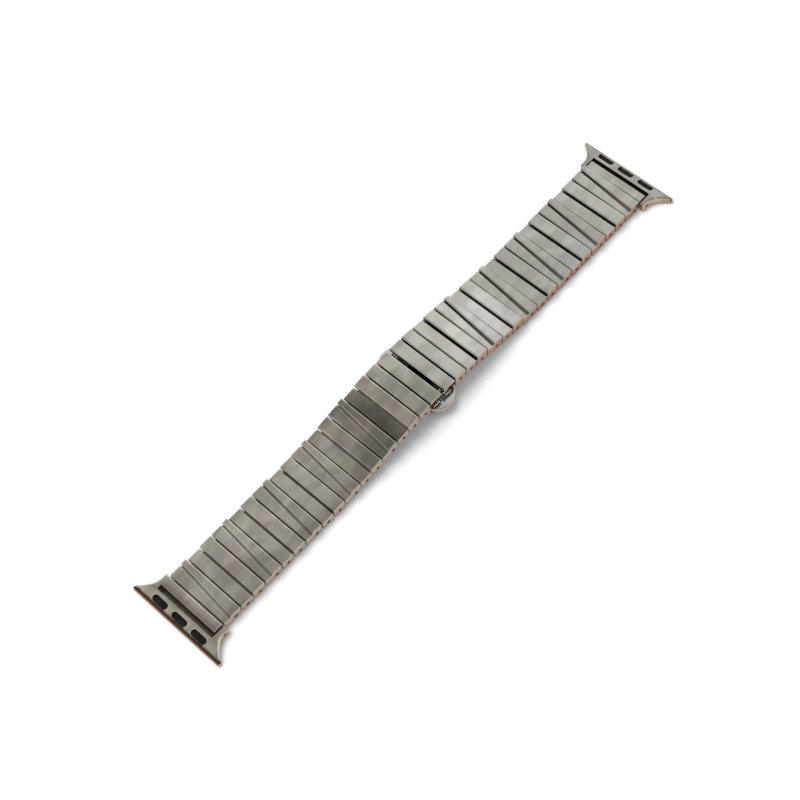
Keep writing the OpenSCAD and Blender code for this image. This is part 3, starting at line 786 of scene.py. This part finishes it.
def linkValues(hand, i, pitch, kinds):
    kind = "clasp" if i < 2 else linkOrder[hand][(i - 2) % 3]
    right = hand == "right"
    gap = kinds["gap"] / 2
    plus = kinds["wedgePin"] if kind == "wedge" else kinds["plainLength"] / 2
    minus = kinds["wedgeLength"] - plus if kind == "wedge" else plus
    start, end = gap - minus, plus - gap
    if i == 0:  # the clasp links meet with a wider gap of their own
        start, end = (-minus, end) if right else (start, plus)
    nearTop, farTop = [top + bandBottom for top in kinds["tops"][kind]]
    dipNearTop, dipFarTop = [top + bandBottom for top in kinds["dipTops"]]
    dipNearEnd, dipFarEnd = [length - minus for length in kinds["dipLengths"]]
    return {
        **linkSizes,
        "Start": start,
        "End": end,
        "Near Top": nearTop,
        "Far Top": farTop,
        "Dip Near Top": dipNearTop,
        "Dip Far Top": dipFarTop,
        "Dip Near End": dipNearEnd,
        "Dip Far End": dipFarEnd,
        "Pitch": pitch,
        "Outward": 1.0 if right else -1.0,
        "Inner Reach": minus if right else plus,
        "Wedge": kind == "wedge",
        "Pocket": i > 0,
        "Tongue": True,
        "Steel": linkFinish[1],
    }


# The link that fills a lug's pocket has no tongue, and is flush with the recess
def coverValues(hand, kinds):
    right = hand == "right"
    half = kinds["coverLength"] / 2
    inner = half - kinds["gap"] / 2 - kinds["coverUnder"]
    outer = half + kinds["coverOver"]
    top = kinds["tops"]["low" if right else "high"][0] + bandBottom
    return {
        **linkValues(hand, 3 if right else 2, kinds["coverPitch"], kinds),
        "Start": -inner if right else -outer,
        "End": outer if right else inner,
        "Near Top": top,
        "Far Top": top,
        "Inner Reach": half,
        "Width": kinds["coverWidth"],
        "Tongue": False,
    }


# The ears under a clasp link, which hold the free end of an arm, and the recesses over the buttons
earSizes = {
    "pinX": 2.65, "pinZ": 3.8, "radius": 0.85, "inner": 4.6, "outer": 6.0, "root": 1.4,
    "bore": 0.43, "noseSweep": 1.4, "noseWidth": 4.3,
    "recessX": (2.0, -6),  # measured outwards from the link's own axis
    "recessY": (7.15, 12), "recessZ": (-3, 0.95),
}


# Round below and straight above, as seen along the pin
def earOutline(ear, side, steps=16):
    cx, radius = side * ear["pinX"], ear["radius"]
    turns = [math.pi * (1 + i / steps) for i in range(steps + 1)]
    points = [(cx + radius * math.cos(turn), ear["pinZ"] + radius * math.sin(turn)) for turn in turns]
    top = ear["pinZ"] + ear["root"]
    return points + [(cx + radius, top), (cx - radius, top)]


def addEars(mesh, place, side, ear):
    pin = (side * ear["pinX"], 0, ear["pinZ"])
    solids, recesses = [], []
    for hand in (-1, 1):
        x0, x1 = [side * x for x in ear["recessX"]]
        y0, y1 = [hand * y for y in ear["recessY"]]
        recesses.append(boxSolid(x0, x1, y0, y1, *ear["recessZ"]))
        y0, y1 = sorted((hand * ear["inner"], hand * ear["outer"]))
        solids.append(prism(earOutline(ear, side), "Y", y0, y1))
    mesh = carve(mesh, "DIFFERENCE", recesses)
    mesh.transform(place)
    joined = carve(mesh, "UNION", solids)
    bore = rod(ear["bore"], 2 * ear["outer"] + over, pin)
    mesh = carve(joined, "DIFFERENCE", [bore, rod(ear["noseSweep"], ear["noseWidth"], pin)])
    mesh.transform(place.inverted())
    return mesh


slack = 0.01  # for finding the edges that lie in a plane
straight = 0.999  # how much of an edge's run lies along one axis
upright = 0.5


# How much of the full rounding each edge of a link takes
def linkEdge(edge):
    first, last = [vert.co for vert in edge.verts]
    run = (last - first).normalized()
    sideY = linkKinds["coverWidth"] / 2 - slack  # the covers are a little narrower than the links
    if abs(first.y) > sideY and abs(last.y) > sideY:
        middle = (first + last) / 2
        if math.hypot(middle.x, middle.z) < linkSizes["Bore Radius"] + linkKinds["boreRim"]:
            return 0.0
        if abs(run.z) > upright:
            return linkKinds["cornerShare"]
        return 1.0 if middle.z > linkKinds["topFrom"] else linkKinds["footShare"]
    if min(first.z, last.z) < linkKinds["crossFrom"]:
        return 0.0
    if abs(run.y) <= straight:
        return linkKinds["slantShare"]
    atMiddle = abs(abs(first.x) - linkKinds["plainLength"] / 2) < 2 * slack
    return linkKinds["middleShare" if atMiddle else "crossShare"]


linkTree = newLinkTree()
hands = (("left", -1), ("right", 1))
for hand, side in hands:
    places = pinPlaces(hand)
    for i in range(linkCount + 1):
        node = f"{hand}_link_{i:02d}" if i else hand + "_clasp_link"
        place = linkFrame(places, i)
        pitch = (places[i + 1] - places[i]).length
        mesh = runTree(linkTree, linkValues(hand, i, pitch, linkKinds))
        if i:
            addPin(f"{hand}LinkPin{i:02d}", "link", node + "_body", place)
        else:
            mesh = addEars(mesh, place, side, earSizes)
            centre = (side * earSizes["pinX"], 0, earSizes["pinZ"])
            addPin(hand + "ClaspPin", "clasp", node + "_body", Matrix(), centre)
        name = node.replace("_", " ").title().replace(" ", "")
        # One link takes the painted dark reflection
        finish = darkReflectionFinish if node == "left_link_03" else linkFinish
        finishPiece(name, mesh, place, node + "_body", finish, linkKinds["edge"], [node], 4, linkEdge)
    print(hand, "links made")


# Lugs: a flared plate with a lip that slides into the watch, and three oblong openings

lugSizes = {
    "length": 6.9,  # from the pin to the sliding edge
    "inner": 1.6, "edgeHalf": 16.0, "earIn": 10.15, "earOut": 11.6, "flareStart": 1.0,
    "flareRun": 6.0, "height": 2.9, "edgeHeight": 2.3, "lipLength": 0.9, "lipHeight": 1.4,
    "lipGroove": 0.4, "chamfer": 0.3, "recessEnd": 2.9, "recessFloor": 0.35, "pocketEnd": 1.45,
    "insertX": 4.85, "insertPitch": 7.2, "insertLength": 5.2, "insertWidth": 1.85,
    "insertTop": 2.05, "ledge": 0.95, "footStep": 0.3, "footHeight": 0.08, "footOverlap": 0.1,
    "setGap": 0.12, "seatGap": 0.02,
    "edge": 0.6,  # the flared flanks' top edges; the others take this share of it
    "edgeShare": 0.22, "insertShare": 0.14, "shoulderShare": 0.05, "topDepth": 0.7,
    "insertEdge": 0.22,
}


def lugPlan(size, steps=20):
    x, corner, wide, ear = [size[name] for name in ("length", "chamfer", "edgeHalf", "earOut")]
    half = [(x, wide - corner), (x - corner, wide)]
    for i in range(steps + 1):
        share = i / steps
        width = ear + (wide - ear) * (1 - share) ** 2
        half.append((x - size["flareStart"] - size["flareRun"] * share, width))
    half += [(corner - size["inner"], ear), (-size["inner"], ear - corner)]
    return half + [(x, -y) for x, y in reversed(half)]


def lugSide(size):
    end, inner, corner = [size[name] for name in ("length", "inner", "chamfer")]
    top = bandBottom + size["height"]
    lipX = end - size["lipLength"]
    lipTop = bandBottom + size["lipHeight"]
    groove = lipTop - size["lipGroove"]
    return [
        (-inner, bandBottom + corner),
        (corner - inner, bandBottom),
        (lipX, bandBottom),
        (end, bandBottom + corner),
        (end, lipTop - corner),
        (end - corner, lipTop),
        (lipX, lipTop),
        (lipX, groove),
        (lipX - corner, groove),
        (lipX - corner, bandBottom + size["edgeHeight"]),
        (size["recessEnd"], top),
        (corner - inner, top),
        (-inner, top - corner),
    ]


# The outline of an oblong opening, drawn in all round
def insertOutline(size, y, inset):
    shrink = 2 * inset
    return oblongOutline(size["insertLength"] - shrink, size["insertWidth"] - shrink, size["insertX"], y)


def lugMesh(size):
    top = bandBottom + size["height"] + over
    low = bandBottom - over
    start = -size["inner"] - over
    half = size["edgeHalf"] + over
    plate = carve(prism(lugPlan(size), "Z", low, top), "INTERSECT", [prism(lugSide(size), "Y", -half, half)])
    across = (-size["earIn"], size["earIn"])
    cuts = [
        boxSolid(start, size["recessEnd"], *across, bandBottom + size["recessFloor"], top),
        boxSolid(start - over, size["pocketEnd"], *across, low, top + over),
        rod(linkSizes["Bore Radius"], 2 * size["earOut"] + 4 * over),
    ]
    for i in (-1, 0, 1):
        opening = insertOutline(size, i * size["insertPitch"], 0)
        cuts.append(prism(opening, "Z", bandBottom + size["ledge"], top))
    cuts.append(prism(insertOutline(size, 0, size["footStep"]), "Z", low, top + 2 * over))
    return carve(plate, "DIFFERENCE", cuts)


# How much of the full rounding each edge of a lug takes
def lugEdge(edge):
    if min(vert.co.z for vert in edge.verts) < lugSizes["height"] + bandBottom - lugSizes["topDepth"]:
        return lugSizes["edgeShare"]
    if min(abs(vert.co.y) for vert in edge.verts) > lugSizes["earOut"] - 2 * slack:
        return 1.0
    middle = sum(abs(vert.co.x) for vert in edge.verts) / 2
    if middle > lugSizes["length"] - lugSizes["lipLength"] - lugSizes["chamfer"] - 2 * slack:
        return lugSizes["shoulderShare"]
    atInsert = abs(middle - lugSizes["insertX"]) < lugSizes["insertWidth"] / 2 + slack
    return lugSizes["insertShare" if atInsert else "edgeShare"]


# One black oblong: a pad, or the latch with its foot
def insertMesh(size, y, footed):
    ledge = bandBottom + size["ledge"]
    plan = insertOutline(size, y, size["setGap"])
    body = prism(plan, "Z", ledge + size["seatGap"], bandBottom + size["insertTop"])
    if not footed:
        return body
    plan = insertOutline(size, y, size["setGap"] + size["footStep"])
    foot = prism(plan, "Z", bandBottom + size["footHeight"], ledge + size["footOverlap"])
    return carve(body, "UNION", [foot])


def joinedMesh(meshes):
    build = bmesh.new()
    for mesh in meshes:
        build.from_mesh(mesh)
    joined = bpy.data.meshes.new("joined")
    build.to_mesh(joined)
    build.free()
    return joined


plateMesh = lugMesh(lugSizes)
padMeshes = joinedMesh([insertMesh(lugSizes, i * lugSizes["insertPitch"], False) for i in (-1, 1)])
latchMesh = insertMesh(lugSizes, 0.0, True)
for hand, side in hands:
    place = linkFrame(pinPlaces(hand), linkCount + 1)
    lug = hand + "_lug"
    plate, pads, latch = [sided(shape, side, (1, 0, 0)) for shape in (plateMesh, padMeshes, latchMesh)]
    edge = lugSizes["insertEdge"]
    finishPiece(hand + "Lug", plate, place, lug + "_body", lugFinish, lugSizes["edge"], [lug], 4, lugEdge)
    finishPiece(hand + "LugPads", pads, place, lug + "_body", insertFinish, edge, [lug + "_pads"])
    finishPiece(hand + "LugLatch", latch, place, lug + "_latch_body", insertFinish, edge, [lug + "_latch"])
    cover = runTree(linkTree, coverValues(hand, linkKinds))
    node, edge = hand + "_end_cover", linkKinds["edge"]
    finishPiece(hand + "EndCover", cover, place, lug + "_body", coverFinish, edge, [node], 4, linkEdge)
    addPin(hand + "LugPin", "lug", lug + "_body", place, nodes=[lug + "_pin"])
print("lugs made")


# Clasp: base plate, arms, latch block, rivet and pins

claspSizes = {
    "hingeX": 16.6, "hingeZ": 1.0, "hingeRadius": 1.0, "tipX": 2.65, "tipZ": 3.8, "tipRadius": 0.85,
    "bore": 0.43, "plateThickness": 0.9, "plateWidth": 9.0, "plateBar": 8.8, "plateMiddle": 2.45,
    "notchX": (11.2, 22),  # cutters run on past the ends
    "notchWidth": 6.3, "armThickness": 0.9, "armWidth": 8.9, "armBulge": 0.9, "armTab": 6.0,
    "waistX": (11.35, 22), "noseOut": 0.35, "noseWidth": 4.0, "noseHeight": 0.7, "blockX": 1.6,
    "blockWidth": 8.6, "blockTop": 4.55, "slotEnd": 5, "room": 0.15, "rivetRadius": 0.45,
    "rivetHead": 1.0, "rivetHole": 0.48, "plateHole": (-1, 6), "blockHole": (0, 8),
    "rivetInset": 0.05, "rivetChamfer": 0.06, "stemZ": 3.725, "stemBore": 0.53, "cutY": 8,
    "cutZ": (-2, 8), "edge": 0.12,
}
rivetBends = [(0.45, 0.3), (0.8, 0.26), (0.94, 0.14), (1, 0)]  # share of the head's radius, and depth
claspBody = "clasp_base"


# How far a bent bar stops short of its pins, so that it ends inside the knuckles' walls
def trimAngle(radius, size):
    return math.degrees(math.asin((size["bore"] + size["tipRadius"]) / 2 / radius))


def plateShape(size):
    sag = size["plateMiddle"] - size["hingeZ"]
    radius = (size["hingeX"] ** 2 + sag ** 2) / (2 * sag)
    half = math.degrees(math.asin(size["hingeX"] / radius)) - trimAngle(radius, size)
    centre = size["plateMiddle"] - radius
    outline = arcOutline(0, centre, radius, size["plateThickness"], 90 - half, 90 + half, 90)
    bar = prism(outline, "Y", -size["plateBar"] / 2, size["plateBar"] / 2)
    notch = size["notchWidth"] / 2
    knuckles, cuts = [], []
    for side in (-1, 1):
        place = (side * size["hingeX"], 0, size["hingeZ"])
        knuckles.append(rod(size["hingeRadius"], size["plateWidth"], place))
        cuts.append(rod(size["bore"], size["plateWidth"] + 2 * over, place))
        x0, x1 = [side * x for x in size["notchX"]]
        cuts.append(boxSolid(x0, x1, -notch, notch, *size["cutZ"]))
    cuts.append(prism(roundOutline(size["rivetHole"]), "Z", *size["plateHole"]))
    return carve(carve(bar, "UNION", knuckles), "DIFFERENCE", cuts)


def armShape(size):
    tipX, tipZ, hingeX, hingeZ = [size[name] for name in ("tipX", "tipZ", "hingeX", "hingeZ")]
    bulge = size["armBulge"]
    chord = math.hypot(hingeX - tipX, hingeZ - tipZ)
    lean = math.atan2(hingeZ - tipZ, hingeX - tipX)
    radius = (chord ** 2 / 4 + bulge ** 2) / (2 * bulge)
    half = math.degrees(math.asin(chord / 2 / radius)) - trimAngle(radius, size)
    cx = (tipX + hingeX) / 2 + (radius - bulge) * math.sin(lean)
    cz = (tipZ + hingeZ) / 2 - (radius - bulge) * math.cos(lean)
    middle = 90 + math.degrees(lean)
    outline = arcOutline(cx, cz, radius, size["armThickness"], middle - half, middle + half, 36)
    bar = prism(outline, "Y", -size["armWidth"] / 2, size["armWidth"] / 2)
    tip, hinge = (tipX, 0, tipZ), (hingeX, 0, hingeZ)
    noseX = tipX - size["tipRadius"] - size["noseOut"]
    noseY, noseZ, tab = size["noseWidth"] / 2, size["noseHeight"] / 2, size["armTab"] / 2
    joins = [
        rod(size["tipRadius"], size["armWidth"], tip),
        rod(size["hingeRadius"], size["armTab"], hinge),
        boxSolid(noseX, noseX + size["tipRadius"], -noseY, noseY, tipZ - noseZ, tipZ + noseZ),
    ]
    cuts = [boxSolid(*size["waistX"], side * tab, side * size["cutY"], *size["cutZ"]) for side in (1, -1)]
    cuts += [rod(size["bore"], size["armWidth"] + 2 * over, end) for end in (tip, hinge)]
    return carve(carve(bar, "UNION", joins), "DIFFERENCE", cuts)


def blockShape(size):
    half = size["blockWidth"] / 2
    bottom = size["plateMiddle"] + size["plateThickness"] / 2
    block = boxSolid(-size["blockX"], size["blockX"], -half, half, bottom, size["blockTop"])
    slotX = size["blockX"] - size["noseOut"]
    slotY = size["noseWidth"] / 2 + size["room"]
    slotZ = size["tipZ"] - size["noseHeight"] / 2 - size["room"]
    top = size["cutZ"][1]
    cuts = [boxSolid(side * slotX, side * size["slotEnd"], -slotY, slotY, slotZ, top) for side in (1, -1)]
    cuts.append(rod(size["stemBore"], size["blockWidth"] + 2 * over, (0, 0, size["stemZ"])))
    cuts.append(prism(roundOutline(size["rivetHole"]), "Z", *size["blockHole"]))
    return carve(block, "DIFFERENCE", cuts)


def rivetShape(size):
    seat = size["plateMiddle"] - size["plateThickness"] / 2 - size["rivetInset"]
    shank, corner = size["rivetRadius"], size["rivetChamfer"]
    top = size["blockTop"] - size["rivetInset"]
    profile = [(size["rivetHead"] * share, seat - down) for share, down in rivetBends]
    return turned(profile + [(shank, seat), (shank, top - corner), (shank - corner, top)])


for name, shape, finish, edge, node in (
    ("basePlate", plateShape, claspFinish, claspSizes["edge"], "base_plate"),
    ("latchBlock", blockShape, blockFinish, claspSizes["edge"], "latch_block"),
    ("blockRivet", rivetShape, pinFinish, 0, "block_rivet"),
):
    finishPiece(name, shape(claspSizes), Matrix(), claspBody, finish, edge, [node])
rightArm = armShape(claspSizes)
for hand, side in hands:
    node = hand + "_arm"
    arm = sided(rightArm, side, (1, 0, 0))
    finishPiece(hand + "Arm", arm, Matrix(), node + "_body", claspFinish, claspSizes["edge"], [node])
    centre = (side * claspSizes["hingeX"], 0, claspSizes["hingeZ"])
    addPin(hand + "HingePin", "hinge", claspBody, Matrix(), centre, [hand + "_hinge_pin"])
print("clasp made")


# Push buttons: a polished crescent with a nose between two pockets, ribs in the pockets, a stem and a spring

buttonSizes = {
    "discRadius": 5.552, "discY": 6.748, "halfLength": 4.5, "inner": 7.3, "outer": 14, "low": 2.35,
    "high": 4.55, "rim": 0.4, "rimBends": (0, 22, 45, 68, 90), "pocketHalf": 3.7, "pocketEnd": 10.1,
    "pocketZ": 3.35, "noseHalf": 0.85, "stemRadius": 0.5, "stemStart": 1.9, "stemOverlap": 0.2,
    "edge": 0.08,
}
ribSizes = {
    "Radius": 0.38, "Length": 2.5, "Side Place": 2.3, "Row Start": 8.55, "Row Pitch": 0.95,
    "Height": 4.05,
}
ribCount = 2
springSizes = {
    "Radius": 0.775, "Wire": 0.125, "Turns": 5.0, "Start": 4.475, "Length": 2.65, "Height": 3.725,
}


# The ribs: one round bar on each point of a short row, made on both sides of the middle
def newRibTree():
    tree, size = newTree("ribTree", {"Float": ribSizes, "Int": ["Count"], "Material": ["Steel"]})
    values = {"Vertices": 24, "Radius": size["Radius"], "Depth": size["Length"]}
    bar = tree.node("GeometryNodeMeshCylinder", None, values)
    rows = []
    for side in (-1, 1):
        start = tree.vector(size["Side Place"] * side, size["Row Start"], size["Height"])
        step = tree.vector(0, size["Row Pitch"], 0)
        values = {"Count": size["Count"], "Start Location": start, "Offset": step}
        row = tree.node("GeometryNodeMeshLine", None, values)
        values = {"Points": row, "Instance": bar, "Rotation": (0, math.pi / 2, 0)}
        rows.append(tree.node("GeometryNodeInstanceOnPoints", None, values))
    return closeTree(tree, tree.node("GeometryNodeJoinGeometry", None, {0: rows}), size["Steel"])


# A round wire swept along a spiral
def newSpringTree():
    tree, size = newTree("springTree", {"Float": springSizes, "Material": ["Steel"]})
    spiral = tree.node("GeometryNodeCurveSpiral", None, {
        "Resolution": 24,
        "Rotations": size["Turns"],
        "Start Radius": size["Radius"],
        "End Radius": size["Radius"],
        "Height": size["Length"],
        "Reverse": True,
    })
    profile = tree.node("GeometryNodeCurvePrimitiveCircle", None, {"Resolution": 10, "Radius": size["Wire"]})
    values = {"Curve": spiral, "Profile Curve": profile, "Fill Caps": True}
    wire = tree.node("GeometryNodeCurveToMesh", None, values)
    placed = moved(tree, wire, tree.vector(0, size["Start"], size["Height"]), (-math.pi / 2, 0, 0))
    return closeTree(tree, placed, size["Steel"])


# A round disc whose rims are rounded, cut to the cap's length
def capSlice(size):
    rim, low, high, half = [size[name] for name in ("rim", "low", "high", "halfLength")]
    turns = [math.radians(bend) for bend in size["rimBends"]]
    profile = [(size["discRadius"] - rim + rim * math.sin(a), low + rim * (1 - math.cos(a))) for a in turns]
    profile += [(reach, low + high - z) for reach, z in reversed(profile)]
    disc = turned(profile, 144)
    disc.transform(Matrix.Translation((0, size["discY"], 0)))
    slab = boxSolid(-half, half, size["inner"], size["outer"], low - over, high + over)
    return carve(disc, "INTERSECT", [slab])


def buttonShape(size):
    across = (size["inner"] - over, size["pocketEnd"])
    upward = (size["pocketZ"], size["high"] + over)
    nose, pocket = size["noseHalf"], size["pocketHalf"]
    pockets = [boxSolid(side * nose, side * pocket, *across, *upward) for side in (-1, 1)]
    ribs = runTree(newRibTree(), {**ribSizes, "Count": ribCount, "Steel": buttonFinish[1]})
    length = size["inner"] + size["stemOverlap"] - size["stemStart"]
    stem = rod(size["stemRadius"], length, (0, size["stemStart"] + length / 2, claspSizes["stemZ"]))
    lobes = carve(ribs, "INTERSECT", [capSlice(size)])
    return carve(carve(capSlice(size), "DIFFERENCE", pockets), "UNION", [lobes, stem])


farButton = buttonShape(buttonSizes)
farSpring = runTree(newSpringTree(), {**springSizes, "Steel": pinFinish[1]})
for hand, side in (("near", -1), ("far", 1)):
    node = hand + "_button"
    button, spring = [sided(shape, side, (0, 1, 0)) for shape in (farButton, farSpring)]
    finishPiece(hand + "Button", button, Matrix(), node + "_body", buttonFinish, buttonSizes["edge"], [node])
    coil = finishPiece(hand + "Spring", spring, Matrix(), claspBody, pinFinish, 0, [hand + "_spring"])
    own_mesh(coil)
print("buttons and springs made")


# Floor, light and camera

floorSizes = {"radius": 3.0, "thickness": 0.02}
floorTones = {"grey": (0.8, 0.8, 0.8), "cameraGlow": 0.06, "glossyGlow": 0.18}


def whiteFloor(size, look):
    material, tree = newMaterial("paleFloor")
    path = tree.node("ShaderNodeLightPath")
    matt = tree.node("ShaderNodeBsdfDiffuse", None, {"Color": look["grey"]})
    strength = path.out("Is Camera Ray") * look["cameraGlow"] + path.out("Is Glossy Ray") * look["glossyGlow"]
    glow = tree.node("ShaderNodeEmission", None, {"Color": white, "Strength": strength})
    both = tree.node("ShaderNodeAddShader", None, {0: matt, 1: glow})
    tree.node("ShaderNodeOutputMaterial", None, {"Surface": both})
    floor = addObject("floor", prism(roundOutline(size["radius"], 96), "Z", -size["thickness"], 0.0))
    floor.data.materials.append(material)


# The room as the polished faces see it: pale to the right, dusky above the clasp's left side
room = {
    "tones": [
        (-1.00, 0.75), (-0.35, 0.60), (-0.16, 0.30), (-0.07, 0.22), (-0.04, 0.33), (0.02, 0.46),
        (0.10, 0.45), (0.19, 0.475), (0.23, 0.54), (0.32, 0.61), (0.39, 0.705), (0.46, 0.70),
        (0.49, 0.78), (0.57, 0.90), (0.62, 0.96), (0.70, 1.00), (1.00, 1.00),
    ],
    "left": (1.0, 0.97, 0.89),
    "right": (1.0, 0.993, 0.957),
    "turnFrom": -0.1,
    "turnRun": 0.3,
    "ahead": (0.30, 0.46, 0.90, 1.08),
    "behind": (-0.62, -0.48, 1.5, 1.0),
    "sky": (0.570, 0.600, 0.630),  # a little blue, which only the shadow shows
}


def studioWorld(look):
    world = bpy.data.worlds.new("studio")
    world.use_nodes = True
    world.node_tree.nodes.clear()
    tree = Tree(world.node_tree)
    path = tree.node("ShaderNodeLightPath")
    axes = tree.axes(tree.node("ShaderNodeTexCoord").out("Generated"))
    ahead = axes.out("Y")
    stops = []
    for x, tone in look["tones"]:
        share = min(max((x - look["turnFrom"]) / look["turnRun"], 0), 1)
        tint = [a + (b - a) * share for a, b in zip(look["left"], look["right"])]
        stops.append(((x + 1) / 2, tuple(tone * one for one in tint)))
    studio = tree.node("ShaderNodeValToRGB", {"stops": stops}, {0: (axes.out("X") + 1) / 2})
    studio = tree.shaded(studio, tree.ramp(ahead, *look["ahead"]) * tree.ramp(ahead, *look["behind"]))
    soft = tree.mixColour(look["sky"], studio, path.out("Is Glossy Ray"))
    colour = tree.mixColour(soft, white, path.out("Is Camera Ray"))
    back = tree.node("ShaderNodeBackground", None, {"Color": colour, "Strength": 1.0})
    tree.node("ShaderNodeOutputWorld", None, {"Surface": back})
    scene.world = world


# A wide soft sun from the far side: it throws the shadow and leaves the reflections alone
sunSizes = {"from": (-0.14, 0.34, 0.93), "spread": 38, "strength": 2.35, "tint": (1.0, 0.985, 0.97)}


def softSun(size):
    lamp = bpy.data.lights.new("softSun", "SUN")
    lamp.angle = math.radians(size["spread"])
    lamp.energy = size["strength"]
    lamp.color = size["tint"]
    made = addObject("softSun", lamp)
    made.rotation_euler = Vector(size["from"]).to_track_quat("Z", "Y").to_euler()
    made.visible_glossy = False


cameraView = {
    "aim": (-7.556, -0.87, 3.6),  # millimetres
    "heading": 39.248, "pitch": 61.554, "roll": -9.382, "distance": 422.036, "lens": 70.357,
    "film": 36, "clip": 0.01,
}


def photoCamera(view):
    heading, pitch, turn = [math.radians(view[name]) for name in ("heading", "pitch", "roll")]
    level = math.cos(pitch)
    forward = Vector((level * math.sin(heading), level * math.cos(heading), -math.sin(pitch)))
    flatRight = forward.cross(Vector((0, 0, 1))).normalized()
    flatUp = flatRight.cross(forward)
    right = math.cos(turn) * flatRight + math.sin(turn) * flatUp
    up = math.cos(turn) * flatUp - math.sin(turn) * flatRight
    data = bpy.data.cameras.new("camera")
    data.lens = view["lens"]
    data.sensor_width = view["film"]
    data.clip_start = view["clip"]
    made = addObject("camera", data)
    made.location = (Vector(view["aim"]) - forward * view["distance"]) / metre
    made.rotation_euler = Matrix((right, up, -forward)).transposed().to_euler()
    scene.camera = made


whiteFloor(floorSizes, floorTones)
studioWorld(room)
softSun(sunSizes)
photoCamera(cameraView)
scene.view_settings.view_transform = "Standard"
print("floor, light and camera set")
